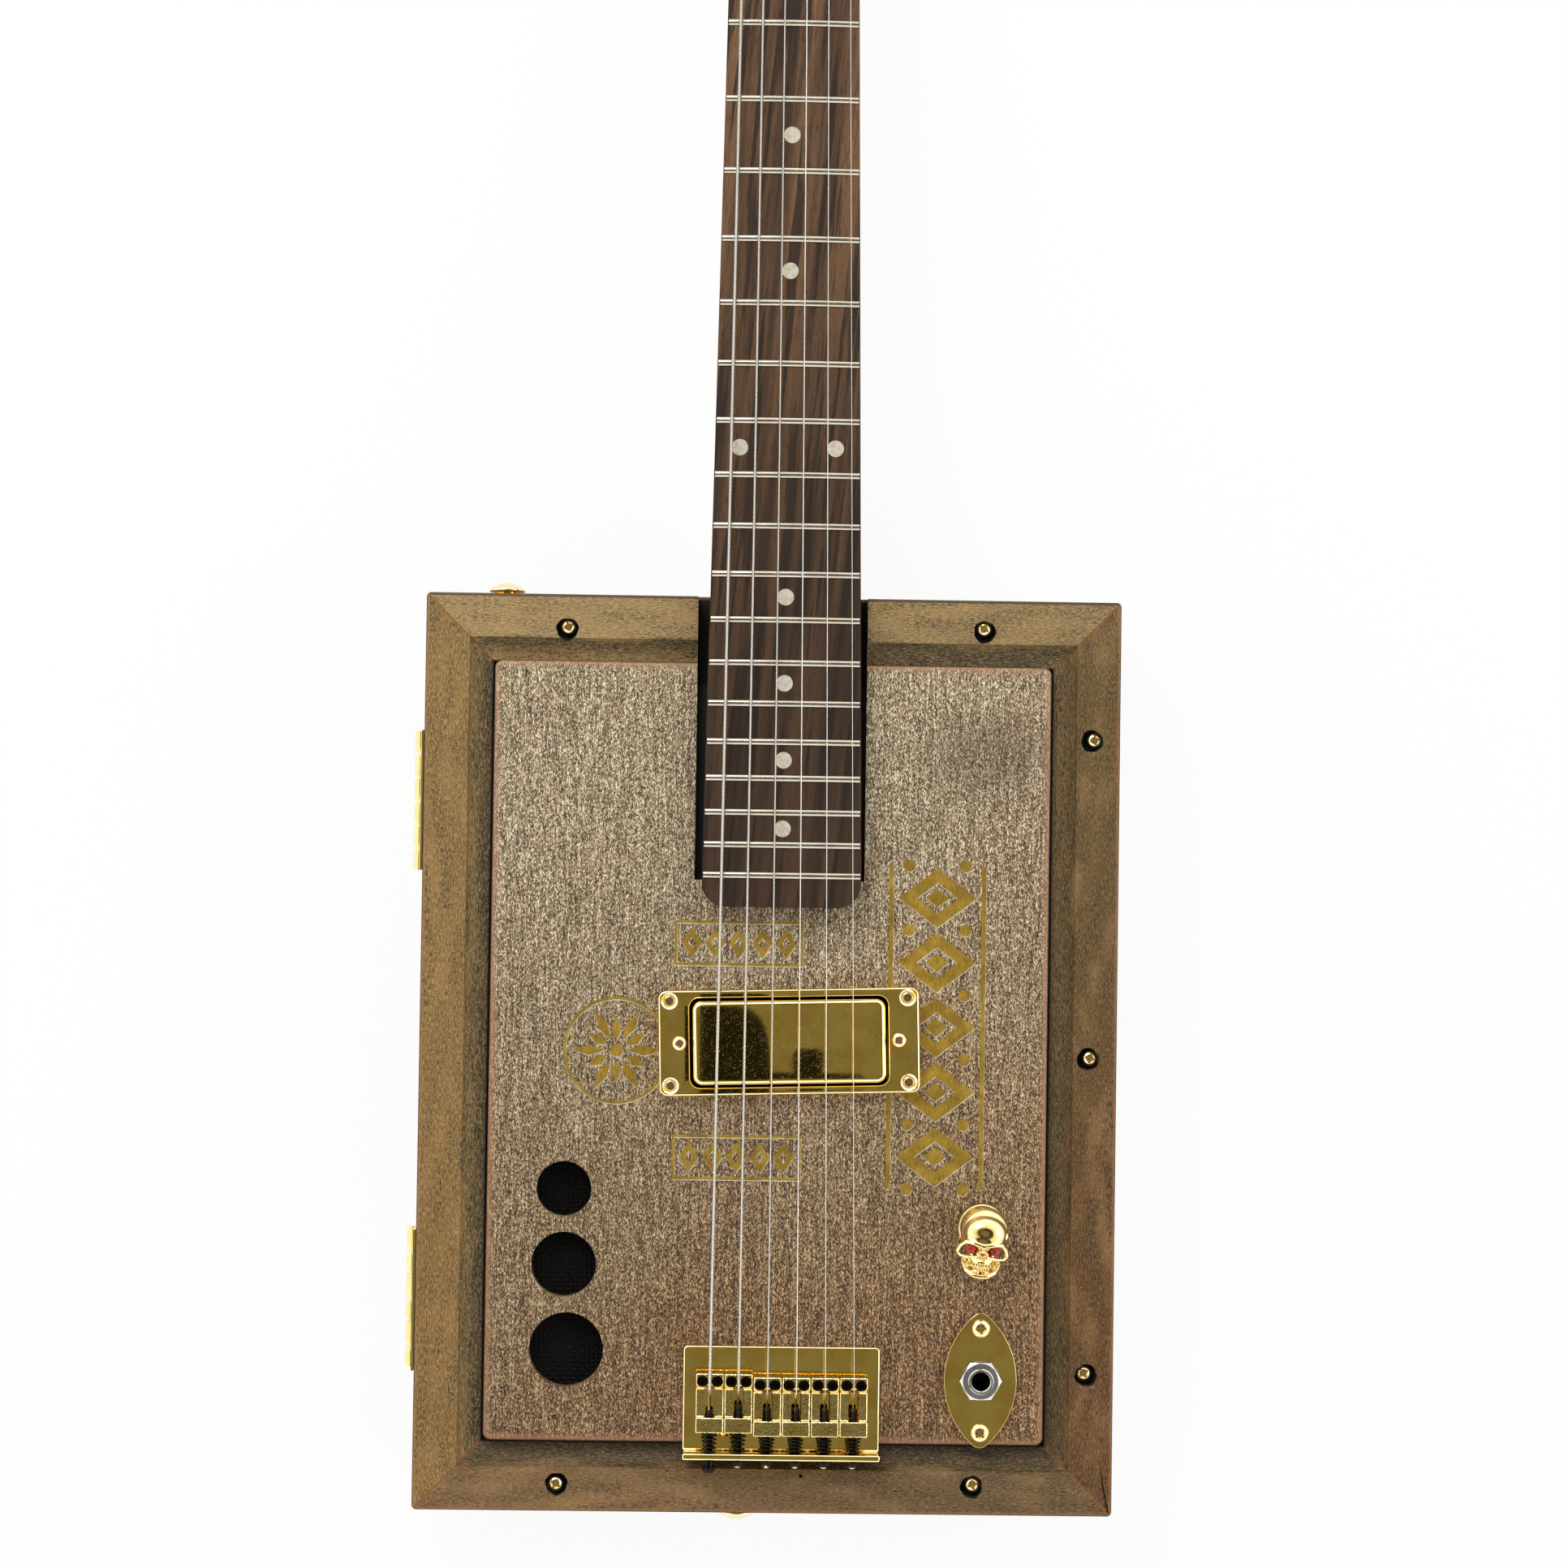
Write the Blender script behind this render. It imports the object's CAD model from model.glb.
"""Dresses the cigar box guitar: its finishes, its fine pieces, the studio round it and the camera.

Lengths are millimetres in the part's own frame, unless a name ends in _m.
"""

import logging
import math
from collections.abc import Callable, Iterable, Sequence
from dataclasses import dataclass, field
from enum import Enum

import bmesh
import bpy
from mathutils import Matrix, Vector


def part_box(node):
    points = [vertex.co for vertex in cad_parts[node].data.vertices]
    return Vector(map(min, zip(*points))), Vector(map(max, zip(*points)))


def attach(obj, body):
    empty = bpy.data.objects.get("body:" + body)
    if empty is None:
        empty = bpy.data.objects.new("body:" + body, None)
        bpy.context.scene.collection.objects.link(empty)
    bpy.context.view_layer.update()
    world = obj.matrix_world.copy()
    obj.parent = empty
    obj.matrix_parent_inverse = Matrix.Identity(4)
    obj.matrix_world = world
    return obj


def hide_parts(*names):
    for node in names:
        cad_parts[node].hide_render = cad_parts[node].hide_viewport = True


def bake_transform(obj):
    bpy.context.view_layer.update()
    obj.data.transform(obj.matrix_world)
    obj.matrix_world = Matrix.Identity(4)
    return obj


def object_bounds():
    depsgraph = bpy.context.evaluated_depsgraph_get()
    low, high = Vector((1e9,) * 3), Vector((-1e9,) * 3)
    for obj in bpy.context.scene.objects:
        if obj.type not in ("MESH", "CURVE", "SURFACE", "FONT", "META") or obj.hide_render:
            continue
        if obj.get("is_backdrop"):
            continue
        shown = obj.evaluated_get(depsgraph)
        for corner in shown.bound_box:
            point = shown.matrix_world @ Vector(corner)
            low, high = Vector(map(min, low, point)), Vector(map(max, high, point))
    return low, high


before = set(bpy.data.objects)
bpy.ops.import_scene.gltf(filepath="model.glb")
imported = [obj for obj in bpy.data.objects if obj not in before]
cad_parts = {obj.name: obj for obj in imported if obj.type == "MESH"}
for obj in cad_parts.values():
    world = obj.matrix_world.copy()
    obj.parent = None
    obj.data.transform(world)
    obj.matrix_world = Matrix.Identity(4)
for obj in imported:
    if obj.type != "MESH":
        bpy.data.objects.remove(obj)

LOG = logging.getLogger("guitar")
MM = 0.001
FULL_TURN = 2 * math.pi
MERGE = 0.0005
CUT_PAST = 2.0
PANEL_GAP = 0.3
BOTH_SIDES = (-1, 1)
STRING_COUNT = 6
STRING_PITCH = 10.15
STRINGS_X = 6.2
QUARTER_DEGREES = 90
CORNER_STEPS = 6

Point = Sequence[float]
Pair = tuple[float, float]
Triple = tuple[float, float, float]
Outline = Iterable[Pair]
Layer = Sequence[object]
EdgeTest = Callable[[bmesh.types.BMEdge], bool]


class Slot(Enum):
    """Material slots of the record."""

    BOX_WOOD = "box_wood"
    FRAME_WOOD = "frame_wood"
    PANEL_WOOD = "panel_wood"
    MAPLE = "maple"
    ROSEWOOD = "rosewood"
    BONE = "bone"
    GOLD = "gold"
    NICKEL = "nickel"
    STEEL = "steel"
    BLACK_METAL = "black_metal"
    BLACK_PLASTIC = "black_plastic"


class Side(Enum):
    """Sides of the lid's frame, each with the quarter turns from the bottom side."""

    BOTTOM = 0
    RIGHT = 1
    TOP = 2
    LEFT = 3

    @property
    def is_rail(self) -> bool:
        """Tells whether the member on this side runs across the guitar."""
        return self in (Side.TOP, Side.BOTTOM)

    @property
    def member(self) -> str:
        """Name of the frame's member on this side."""
        return f"frame_{'rail' if self.is_rail else 'stile'}_{self.name.lower()}"


class Combine(Enum):
    """Ways to combine two closed shapes."""

    JOIN = "UNION"
    CUT = "DIFFERENCE"
    MEET = "INTERSECT"


def colour(code: str) -> tuple[float, float, float, float]:
    """Turns a six-digit colour code into the linear values that shaders use.

    Args:
        code: Red, green and blue as two hexadecimal digits each.

    Returns:
        Linear red, green and blue, and a full alpha.
    """
    shares = [int(code[i:i + 2], 16) / 255 for i in (0, 2, 4)]
    red, green, blue = [s / 12.92 if s <= 0.04045 else ((s + 0.055) / 1.055) ** 2.4 for s in shares]
    return red, green, blue, 1.0


@dataclass(frozen=True)
class Extent:
    """The box round a solid of the frame, in millimetres."""

    low: Vector
    high: Vector

    @classmethod
    def of(cls, node: str) -> "Extent":
        """Reads the box of one named solid."""
        low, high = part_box(node)
        return cls(Vector(low) / MM, Vector(high) / MM)

    @property
    def centre(self) -> Vector:
        """Middle of the box."""
        return (self.low + self.high) / 2

    @property
    def size(self) -> Vector:
        """Lengths of the box along X, Y and Z."""
        return self.high - self.low


def math_method(operation: str, swapped: bool = False) -> Callable[..., "Wire"]:
    """Makes a method for wires that adds one Math node.

    Args:
        operation: What the node works out.
        swapped: Whether the wire's own value comes second.

    Returns:
        The method.
    """
    def method(wire: "Wire", other: object = 0.0) -> "Wire":
        """Adds the node."""
        first, second = (other, wire) if swapped else (wire, other)
        return wire.tree.node("ShaderNodeMath", {"operation": operation}, {0: first, 1: second})
    return method


class Wire:
    """A socket that takes Python's operators, each of which adds a Math node to its tree."""

    __add__ = math_method("ADD")
    __radd__ = math_method("ADD", swapped=True)
    __sub__ = math_method("SUBTRACT")
    __rsub__ = math_method("SUBTRACT", swapped=True)
    __mul__ = math_method("MULTIPLY")
    __rmul__ = math_method("MULTIPLY", swapped=True)
    __pow__ = math_method("POWER")
    size = math_method("ABSOLUTE")
    least = math_method("MINIMUM")
    most = math_method("MAXIMUM")

    def __init__(self, tree: "Tree", socket: bpy.types.NodeSocket) -> None:
        """Wraps one socket of a tree."""
        self.tree = tree
        self.socket = socket

    def rise(self, start: float, end: float) -> "Wire":
        """Goes smoothly from 0 at start to 1 at end; where end is lower, it falls from 1 to 0 instead."""
        inputs = {"Value": self, "From Min": start, "From Max": end}
        return self.tree.node("ShaderNodeMapRange", {"interpolation_type": "SMOOTHSTEP"}, inputs)


class Tree:
    """The node tree of one material, with its surface shader."""

    def __init__(self, name: str) -> None:
        """Starts a material with nothing but a surface shader and its output."""
        self.material = bpy.data.materials.new(name)
        self.material.use_nodes = True
        self.start(self.material.node_tree, "ShaderNodeOutputMaterial")
        self.shader = self.nodes.new("ShaderNodeBsdfPrincipled")
        self.finish(Wire(self, self.shader.outputs[0]))

    def start(self, node_tree: bpy.types.NodeTree, output: str) -> None:
        """Clears a node tree but for a new output."""
        self.nodes = node_tree.nodes
        self.links = node_tree.links
        self.nodes.clear()
        self.output = self.nodes.new(output)

    def finish(self, shader: Wire) -> None:
        """Links a shader to the output."""
        self.feed(self.output.inputs["Surface"], shader)

    def feed(self, socket: bpy.types.NodeSocket, value: object) -> None:
        """Links a wire to a socket, or sets a plain value or a colour code on it."""
        if isinstance(value, Wire):
            self.links.new(value.socket, socket)
        else:
            socket.default_value = colour(value) if isinstance(value, str) else value

    def node(self, kind: str, settings: dict[str, object] | None = None,
             inputs: dict[str | int, object] | None = None, output: str | int = 0) -> Wire:
        """Adds one node.

        Args:
            kind: Type of the node.
            settings: Its options, set first.
            inputs: Values or wires for its sockets, by name or by number.
            output: Which of its outputs to return.

        Returns:
            The chosen output.
        """
        made = self.nodes.new(kind)
        for name, value in (settings or {}).items():
            setattr(made, name, value)
        for name, value in (inputs or {}).items():
            self.feed(made.inputs[name], value)
        return Wire(self, made.outputs[output])

    def place(self, stretch: Point = (1, 1, 1), centre: Point = (0, 0, 0), turn: float = 0.0) -> Wire:
        """Gives a point's place in millimetres from a centre, on axes turned about Z.

        Args:
            stretch: What each axis is multiplied by afterwards.
            centre: Where the place is nought.
            turn: Turn of the axes about Z, in radians.

        Returns:
            The place as a vector.
        """
        where = self.node("ShaderNodeTexCoord", output="Object")
        return self.node("ShaderNodeMapping", {"vector_type": "TEXTURE"}, {
            "Vector": where, "Location": Vector(centre) * MM, "Rotation": (0, 0, turn),
            "Scale": [MM / share for share in stretch]})

    def split(self, vector: Wire) -> tuple[Wire, Wire, Wire]:
        """Takes a vector apart into X, Y and Z."""
        parts = self.node("ShaderNodeSeparateXYZ", inputs={0: vector}).socket.node
        return tuple(Wire(self, socket) for socket in parts.outputs)

    def stretched(self, vector: Wire, stretch: Point) -> Wire:
        """Multiplies each part of a vector."""
        return self.node("ShaderNodeVectorMath", {"operation": "MULTIPLY"}, {0: vector, 1: stretch})

    def noise(self, where: Wire, lump: float, detail: float = 2.0, rough: float = 0.5,
              stretch: Point | None = None) -> Wire:
        """Smooth noise round a half, with lumps of about the given size on axes stretched as given."""
        place = self.stretched(where, stretch) if stretch else where
        return self.node("ShaderNodeTexNoise", inputs={
            "Vector": place, "Scale": 1 / lump, "Detail": detail, "Roughness": rough})

    def cells(self, where: Wire, lump: float, stretch: Point) -> tuple[Wire, Wire, Wire]:
        """Three random values for each cell of about the given size on stretched axes."""
        inputs = {"Vector": self.stretched(where, stretch), "Scale": 1 / lump}
        return self.split(self.node("ShaderNodeTexVoronoi", inputs=inputs, output="Color"))

    def mix(self, share: object, first: object, second: object, blend: str = "MIX") -> Wire:
        """Mixes two colours, with the second's share from 0 to 1."""
        settings = {"data_type": "RGBA", "blend_type": blend}
        return self.node("ShaderNodeMix", settings, {0: share, 6: first, 7: second}, 2)

    def layered(self, base: object, *layers: Layer) -> Wire:
        """Lays colours over a base, each with its share, its code and maybe its way to blend."""
        for share, code, *blend in layers:
            base = self.mix(share, base, code, *blend)
        return base

    def ramp(self, value: Wire, stops: Sequence[tuple[float, str]]) -> Wire:
        """Colours a value by a ramp.

        Args:
            value: What is coloured.
            stops: Places from 0 to 1 with their colour codes, in order.

        Returns:
            The colour.
        """
        wire = self.node("ShaderNodeValToRGB", inputs={0: value})
        elements = wire.socket.node.color_ramp.elements
        while len(elements) < len(stops):
            elements.new(1.0)
        for element, (place, code) in zip(elements, stops):
            element.position = place
            element.color = colour(code)
        return wire

    def bump(self, height: Wire) -> Wire:
        """Turns a height in millimetres into a normal."""
        return self.node("ShaderNodeBump", inputs={"Height": height, "Distance": MM})

    def surface(self, **sockets: object) -> None:
        """Sets or links sockets of the surface shader, their names written with low lines."""
        for name, value in sockets.items():
            title = "Specular IOR Level" if name == "specular" else name.replace("_", " ").title()
            self.feed(self.shader.inputs[title], value)


class WorldTree(Tree):
    """The node tree of the world."""

    def __init__(self, world: bpy.types.World) -> None:
        """Clears the world's tree."""
        self.start(world.node_tree, "ShaderNodeOutputWorld")


@dataclass(frozen=True)
class Finish:
    """A finish for one slot, made as a material the first time that it is used."""

    name: str
    slot: Slot

    def material(self) -> bpy.types.Material:
        """Gives the finish's material."""
        title = f"{self.name}_finish"
        if title not in bpy.data.materials:
            self.dress(Tree(title))
        return bpy.data.materials[title]

    def dress(self, tree: Tree) -> None:
        """Builds the finish in its tree."""
        raise NotImplementedError


@dataclass(frozen=True)
class Metal(Finish):
    """Plated metal with fine scratches, specks of dust, a slight waviness and pale worn slopes."""

    tone: str
    second_tone: str
    slope_tone: str = ""
    polish: float = 0.12
    scuff: float = 0.14
    wave: float = 0.02
    wave_lump: float = 7.0
    crinkle: float = 0.0
    crinkle_lump: float = 0.9
    dust: float = 0.0

    def dress(self, tree: Tree) -> None:
        """Mixes the tones, scratches the polish, and crinkles what slopes."""
        where = tree.place()
        long_scratch = tree.noise(tree.place((0.25, 3.0, 1.0), turn=0.5), 1.0, 3.0).rise(0.6, 0.7)
        short_scratch = tree.noise(tree.place((3.2, 0.3, 1.0), turn=-0.25), 0.8, 2.0).rise(0.64, 0.72)
        cloud = tree.noise(where, 9.0, 3.0)
        specks = tree.noise(where, 0.42, 1.0).rise(0.68, 0.75) * self.dust
        level = tree.split(tree.node("ShaderNodeNewGeometry", output="Normal"))[2]
        slope = level.rise(0.97, 0.85) * level.rise(0.05, 0.35)
        relief = tree.noise(where, self.wave_lump, 1.0) * self.wave
        if self.crinkle:
            rough_cast = level.rise(0.999, 0.985) * 0.4 + 0.6
            relief = relief + tree.noise(where, self.crinkle_lump, 2.0) * rough_cast * self.crinkle
        tree.surface(
            base_color=tree.layered(
                self.tone, (cloud.rise(0.35, 0.7), self.second_tone),
                (slope * 0.85, self.slope_tone or self.tone), (specks, "F4EACB")),
            metallic=1.0 - specks * 0.5,
            roughness=self.polish + long_scratch.most(short_scratch) * self.scuff + cloud * 0.02 + specks * 0.4,
            normal=tree.bump(relief))


@dataclass(frozen=True)
class WoundString(Finish):
    """Steel string wound with a fine wire."""

    tone: str = "DAD7CE"
    groove_tone: str = "7C776D"
    pitch: float = 0.36

    def dress(self, tree: Tree) -> None:
        """Rings the string with its winding."""
        along = tree.split(tree.place())[1]
        ridge = tree.node("ShaderNodeMath", {"operation": "SINE"}, {0: along * (FULL_TURN / self.pitch)})
        tree.surface(
            base_color=tree.mix(ridge.rise(-1.0, 0.4), self.groove_tone, self.tone),
            metallic=1.0, roughness=0.35, normal=tree.bump(ridge * 0.04))


@dataclass(frozen=True)
class FrameWood(Finish):
    """Antique gold-brown stain on one member of the frame: flat face, dark cove and worn copper edges.

    The tones are the flat's at both ends, the brow's, and the foot's at both ends.
    """

    side: Side
    tones: tuple[str, str, str, str, str]
    fleck: float
    edge_line: float
    corner: Triple
    reach: float
    flat_width: float
    width: float

    def dress(self, tree: Tree) -> None:
        """Lays stain, dashes, edges and mitre lines over each other."""
        tone, end_tone, brow_tone, foot_tone, foot_end_tone = self.tones
        where = tree.place(centre=self.corner, turn=self.side.value * math.pi / 2)
        along, inward, height = tree.split(where)
        cloud = tree.noise(where, 11.0, 3.0, stretch=(0.4, 1.0, 1.0))
        weather = tree.noise(where, 5.0, 3.0, 0.6, (0.2, 1.0, 1.0))
        further = (along * (0.5 / self.reach) + 0.5 + (cloud - 0.5) * 0.5).rise(0.1, 0.9)
        depth = (inward + (weather - 0.5) * 5.0).rise(self.flat_width + 0.5, self.width - 0.5)
        cove = tree.mix(depth, brow_tone, tree.mix(further, foot_tone, foot_end_tone))
        start = (self.reach - along.size() - inward).rise(6.0, 1.0) * 2.5
        in_cove = (inward + (weather - 0.5) * 6.0 - start).rise(self.flat_width - 1.2, self.flat_width + 2.2)
        stain = tree.layered(
            tone, (further, end_tone), (cloud.rise(0.45, 0.7) * 0.3, "B9905E"), (in_cove, cove),
            *self.specks(tree, where, weather, in_cove), *self.edges(tree, where),
            (height.rise(-1.0, -2.0) * inward.rise(0.35, 0.1), "5C4B30"),
            (height.rise(-5.8, -6.6) * inward.rise(0.3, 0.8), "15100B"))
        grain = tree.noise(where, 1.1, 4.0, 0.6, (0.06, 1.0, 1.0))
        tree.surface(
            base_color=stain, roughness=0.55 + weather * 0.15, metallic=0.1, specular=0.3,
            normal=tree.bump(grain * 0.05))

    def specks(self, tree: Tree, where: Wire, weather: Wire, in_cove: Wire) -> list[Layer]:
        """Strews dark dashes and pale flecks along the grain.

        Args:
            tree: The finish's tree.
            where: Place along, inwards and up.
            weather: Broad noise that gathers the dashes.
            in_cove: How far a point belongs to the cove.

        Returns:
            The layers of dashes and flecks.
        """
        dash = tree.noise(where, 0.5, 3.0, 0.75, (0.26, 1.1, 1.0))
        fine = tree.noise(where, 0.3, 2.0, 0.7, (0.4, 1.0, 1.0))
        gather = weather.rise(0.4, 0.62) * 0.45 + in_cove * 0.15 + 0.3
        dark = dash.rise(0.51, 0.61) * gather + fine.rise(0.52, 0.62) * gather * 0.7
        return [
            (weather.rise(0.5, 0.72) * 0.25, "4A4128"), (dash.rise(0.48, 0.38) * self.fleck, "D8B47C"),
            (fine.rise(0.47, 0.38) * self.fleck * 0.75, "D8B47C"), (dark.least(0.9), "262114")]

    def edges(self, tree: Tree, where: Wire) -> list[Layer]:
        """Wears copper into the outer edge and the mitres, and darkens the crease at the panel.

        Args:
            tree: The finish's tree.
            where: Place along, inwards and up.

        Returns:
            The layers of worn and dark lines.
        """
        along, inward, _ = tree.split(where)
        ragged = tree.noise(where, 1.7, 3.0)
        mitre = (self.reach - along.size() - inward).size()
        mitre_line = mitre.rise(0.28, 0.12) * ragged.rise(0.35, 0.6) * 0.5
        crease = (inward + ragged * 0.8).rise(self.width - 0.5, self.width + 0.25)
        return [
            ((inward + ragged * 1.6).rise(2.4, 1.2) * 0.5, "A87448"),
            ((inward + ragged * 0.5).rise(self.edge_line, self.edge_line - 0.3) * 0.8, "34332A"),
            ((mitre + ragged * 1.4).rise(1.9, 0.7) * 0.6, "9A6238"), (mitre_line.most(crease), "14100B")]


@dataclass(frozen=True)
class SparklePanel(Finish):
    """Dark fibrous panel under a lacquer full of metal flakes, with coppery worn edges."""

    half_width: float
    half_length: float
    centre_y: float
    smudge_x: float = 72.0
    smudge_y: float = 106.0
    stops: tuple[tuple[float, str], ...] = (
        (0.0, "1C1916"), (0.25, "453B30"), (0.45, "75654F"), (0.6, "9A8769"), (0.8, "DCCEB2"), (1.0, "FFFBEE"))

    def dress(self, tree: Tree) -> None:
        """Scatters flakes over fibres, and tints the panel in broad patches."""
        where = tree.place(centre=(0, self.centre_y, 0))
        across, up, _ = tree.split(where)
        flakes = tree.cells(where, 0.28, (1.0, 0.45, 1.0))
        fibre = tree.noise(where, 0.24, 2.0, 0.7, (1.0, 0.25, 1.0))
        streak = tree.noise(where, 0.62, 3.0, 0.65, (1.0, 0.05, 1.0))
        patch = tree.noise(where, 55.0, 2.0) - 0.5
        value = (fibre - 0.5) * 1.8 + (flakes[0] - 0.5) * 0.6 + (streak - 0.5) * 0.8 + 0.5
        light = (up * 0.005 - across * 0.001 + patch * 1.1 + 0.1).rise(-0.75, 0.85)
        warm = (across * 0.004 - up * 0.004 - patch * 1.6 + 0.1).rise(-0.15, 0.8)
        aside, above = across - self.smudge_x, up - self.smudge_y
        smudge = (aside * aside * 0.6 + above * above * 1.6) ** 0.5 + patch * 40
        to_edge = (self.half_width - across.size()).least(self.half_length - up.size())
        worn = (to_edge + tree.noise(where, 1.6, 3.0, stretch=(1.0, 0.3, 1.0)) * 3.2).rise(5.2, 2.2)
        lacquer = tree.layered(
            tree.ramp(value, self.stops), (flakes[1].rise(0.55, 0.95) * 0.4, "8C6A48", "SOFT_LIGHT"),
            (flakes[1].rise(0.4, 0.1) * 0.35, "8E8C9C", "SOFT_LIGHT"), (light * 0.45, "FFF3D0", "SOFT_LIGHT"),
            (up.rise(120.0, -120.0) * 0.9, "DDCBAF", "MULTIPLY"), (warm * 0.45, "B0784E", "SOFT_LIGHT"),
            (smudge.rise(30.0, 5.0) * 0.4, "43301F"), (worn * 0.6, "A57450"),
            (to_edge.rise(0.5, 0.0), "33241A"))
        tree.surface(
            base_color=lacquer, metallic=0.2 * (1 - worn), roughness=0.42 + flakes[2] * 0.2,
            coat_weight=0.08, normal=tree.bump(value * 0.03))


@dataclass(frozen=True)
class Rosewood(Finish):
    """Dark fretboard wood with slanted black streaks, darker towards the guitar's body."""

    slant: float = -0.09
    dark_y: float = 250.0
    light_y: float = 580.0

    def dress(self, tree: Tree) -> None:
        """Draws streaks, fine pores and the darkening towards the body."""
        where = tree.place(turn=self.slant)
        broad = tree.noise(where, 7.0, 3.0, 0.6, (1.0, 0.035, 1.0))
        streak = tree.noise(where, 3.2, 3.0, 0.55, (1.0, 0.04, 1.0))
        pore = tree.noise(where, 0.8, 2.0, 0.7, (2.0, 0.12, 2.0))
        along = tree.split(tree.place())[1]
        wood = tree.layered(
            "4C3726", (broad.rise(0.35, 0.62), "7E5C3F"), (streak.rise(0.5, 0.6) * 0.85, "2A1E15"),
            (pore.rise(0.55, 0.66) * 0.6, "1A120C"), (along.rise(self.light_y, self.dark_y) * 0.72, "20150D"))
        tree.surface(
            base_color=wood, roughness=0.5 + pore * 0.15, specular=0.22,
            normal=tree.bump(pore.rise(0.5, 0.66) * -0.04))


@dataclass(frozen=True)
class NeckWood(Finish):
    """Clear maple that is stained black where it lies in the box."""

    black_y: float = 326.0
    black_blur: float = 1.5

    def dress(self, tree: Tree) -> None:
        """Draws the maple's grain and the stained heel."""
        where = tree.place()
        grain = tree.noise(where, 2.4, 4.0, 0.6, (1.0, 0.04, 1.0))
        figure = tree.noise(where, 1.5, 2.0, stretch=(0.3, 0.12, 1.0))
        stained = tree.split(where)[1].rise(self.black_y + self.black_blur, self.black_y)
        wood = tree.layered(
            "C99A5E", (grain.rise(0.38, 0.7), "AD7B43"), (figure.rise(0.5, 0.75) * 0.3, "D8B07A"),
            (stained, "0D0A08"))
        tree.surface(
            base_color=wood, roughness=0.34 + grain * 0.1 + stained * 0.3, coat_weight=0.3 * (1 - stained),
            normal=tree.bump(grain * 0.02))


@dataclass(frozen=True)
class Foil(Finish):
    """Thin gold foil that lets the panel's fibres through."""

    tone: str = "A5842C"
    glint: str = "C09C3C"
    fibre_tone: str = "55431A"

    def dress(self, tree: Tree) -> None:
        """Mottles the foil and dents it along the fibres."""
        where = tree.place()
        fibre = tree.noise(where, 0.4, 2.0, 0.7, (1.0, 0.2, 1.0))
        mottle = tree.noise(where, 6.0, 3.0)
        foil = tree.layered(
            self.tone, (mottle.rise(0.35, 0.7), self.glint), (fibre.rise(0.5, 0.66) * 0.5, self.fibre_tone))
        tree.surface(
            base_color=foil, metallic=0.6, roughness=0.36 + mottle * 0.15, normal=tree.bump(fibre * 0.03))


@dataclass(frozen=True)
class BoxWood(Finish):
    """Brown stained wood whose grain runs in the panels' plane."""

    tone: str = "86693F"
    dark_tone: str = "60492A"
    pore_tone: str = "32261A"
    stretch: Triple = (0.06, 0.06, 1.0)
    pore_stretch: float = 2.2
    pore_share: float = 0.7

    def dress(self, tree: Tree) -> None:
        """Draws broad grain and short dark pores."""
        where = tree.place()
        grain = tree.noise(where, 2.6, 4.0, 0.6, self.stretch)
        figure = tree.noise(where, 9.0, 2.0, stretch=self.stretch)
        pore = tree.noise(where, 0.9, 2.0, 0.7, [share * self.pore_stretch for share in self.stretch])
        pores = pore.rise(0.56, 0.68) * self.pore_share
        wood = tree.layered(
            self.tone, ((grain * 0.7 + figure * 0.5).rise(0.42, 0.8), self.dark_tone), (pores, self.pore_tone))
        tree.surface(
            base_color=wood, roughness=0.55 + grain * 0.15, normal=tree.bump(grain * 0.04 - pores * 0.06))


@dataclass(frozen=True)
class Smooth(Finish):
    """Bone, pearl, plastic, gem or cloth: one substance with a faint mottle."""

    tone: str
    mottle_tone: str
    lump: float = 3.0
    shine: float = 0.35
    coat: float = 0.0
    dent: float = 0.01

    def dress(self, tree: Tree) -> None:
        """Mottles the substance."""
        mottle = tree.noise(tree.place(), self.lump, 3.0)
        tree.surface(
            base_color=tree.mix(mottle.rise(0.35, 0.7), self.tone, self.mottle_tone),
            roughness=self.shine + mottle * 0.1, coat_weight=self.coat, normal=tree.bump(mottle * self.dent))


# Finishes that the pieces share
GOLD = Metal(
    "polished_gold", Slot.GOLD, "F0CB62", "E2B950", "FFF4CC", polish=0.005, scuff=0.06, wave=0.0012,
    wave_lump=12.0, dust=0.5)
CAST_GOLD = Metal(
    "cast_gold", Slot.GOLD, "F4D67C", "E6C468", "FFF4CC", polish=0.08, wave=0.002, crinkle=0.3, dust=0.5)
SCREW_GOLD = Metal("screw_gold", Slot.GOLD, "F2CC7C", "E4BA68", "FFF0CC")
DARK_GOLD = Metal("dark_gold", Slot.GOLD, "D8AC6A", "C09458", "F0DCB4", polish=0.2)
ROSE_GOLD = Metal("rose_gold", Slot.GOLD, "F0C294", "E4AE78", "FFE8CC", wave=0.03, wave_lump=2.0)
SKULL_GOLD = Metal("skull_gold", Slot.GOLD, "E8C878", "D0A856", "F8E2AC", polish=0.1, wave=0.04, wave_lump=2.4)
NICKEL = Metal("nickel", Slot.NICKEL, "D2CFC8", "BDB9B0", polish=0.16, dust=0.5)
FRET_METAL = Metal("fret_metal", Slot.NICKEL, "CFC6B2", "ABA18C", polish=0.2, wave=0.0)
STRING_STEEL = Metal("string_steel", Slot.STEEL, "F0EDE4", "DAD6CC", polish=0.25, wave=0.0)
WOUND_STEEL = WoundString("wound_steel", Slot.STEEL)
BLACK_STEEL = Metal("black_steel", Slot.BLACK_METAL, "26241F", "191815", polish=0.28, wave=0.0)
BLACK_MESH = Metal("black_mesh", Slot.BLACK_METAL, "3C3C3A", "242424", polish=0.35, wave=0.0)
BLACK_CLOTH = Smooth("black_cloth", Slot.BLACK_METAL, "050505", "0D0D0D", lump=0.6, shine=0.85, dent=0.05)
BLACK_PLASTIC = Smooth("black_plastic", Slot.BLACK_PLASTIC, "141414", "1B1B1B")
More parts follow.
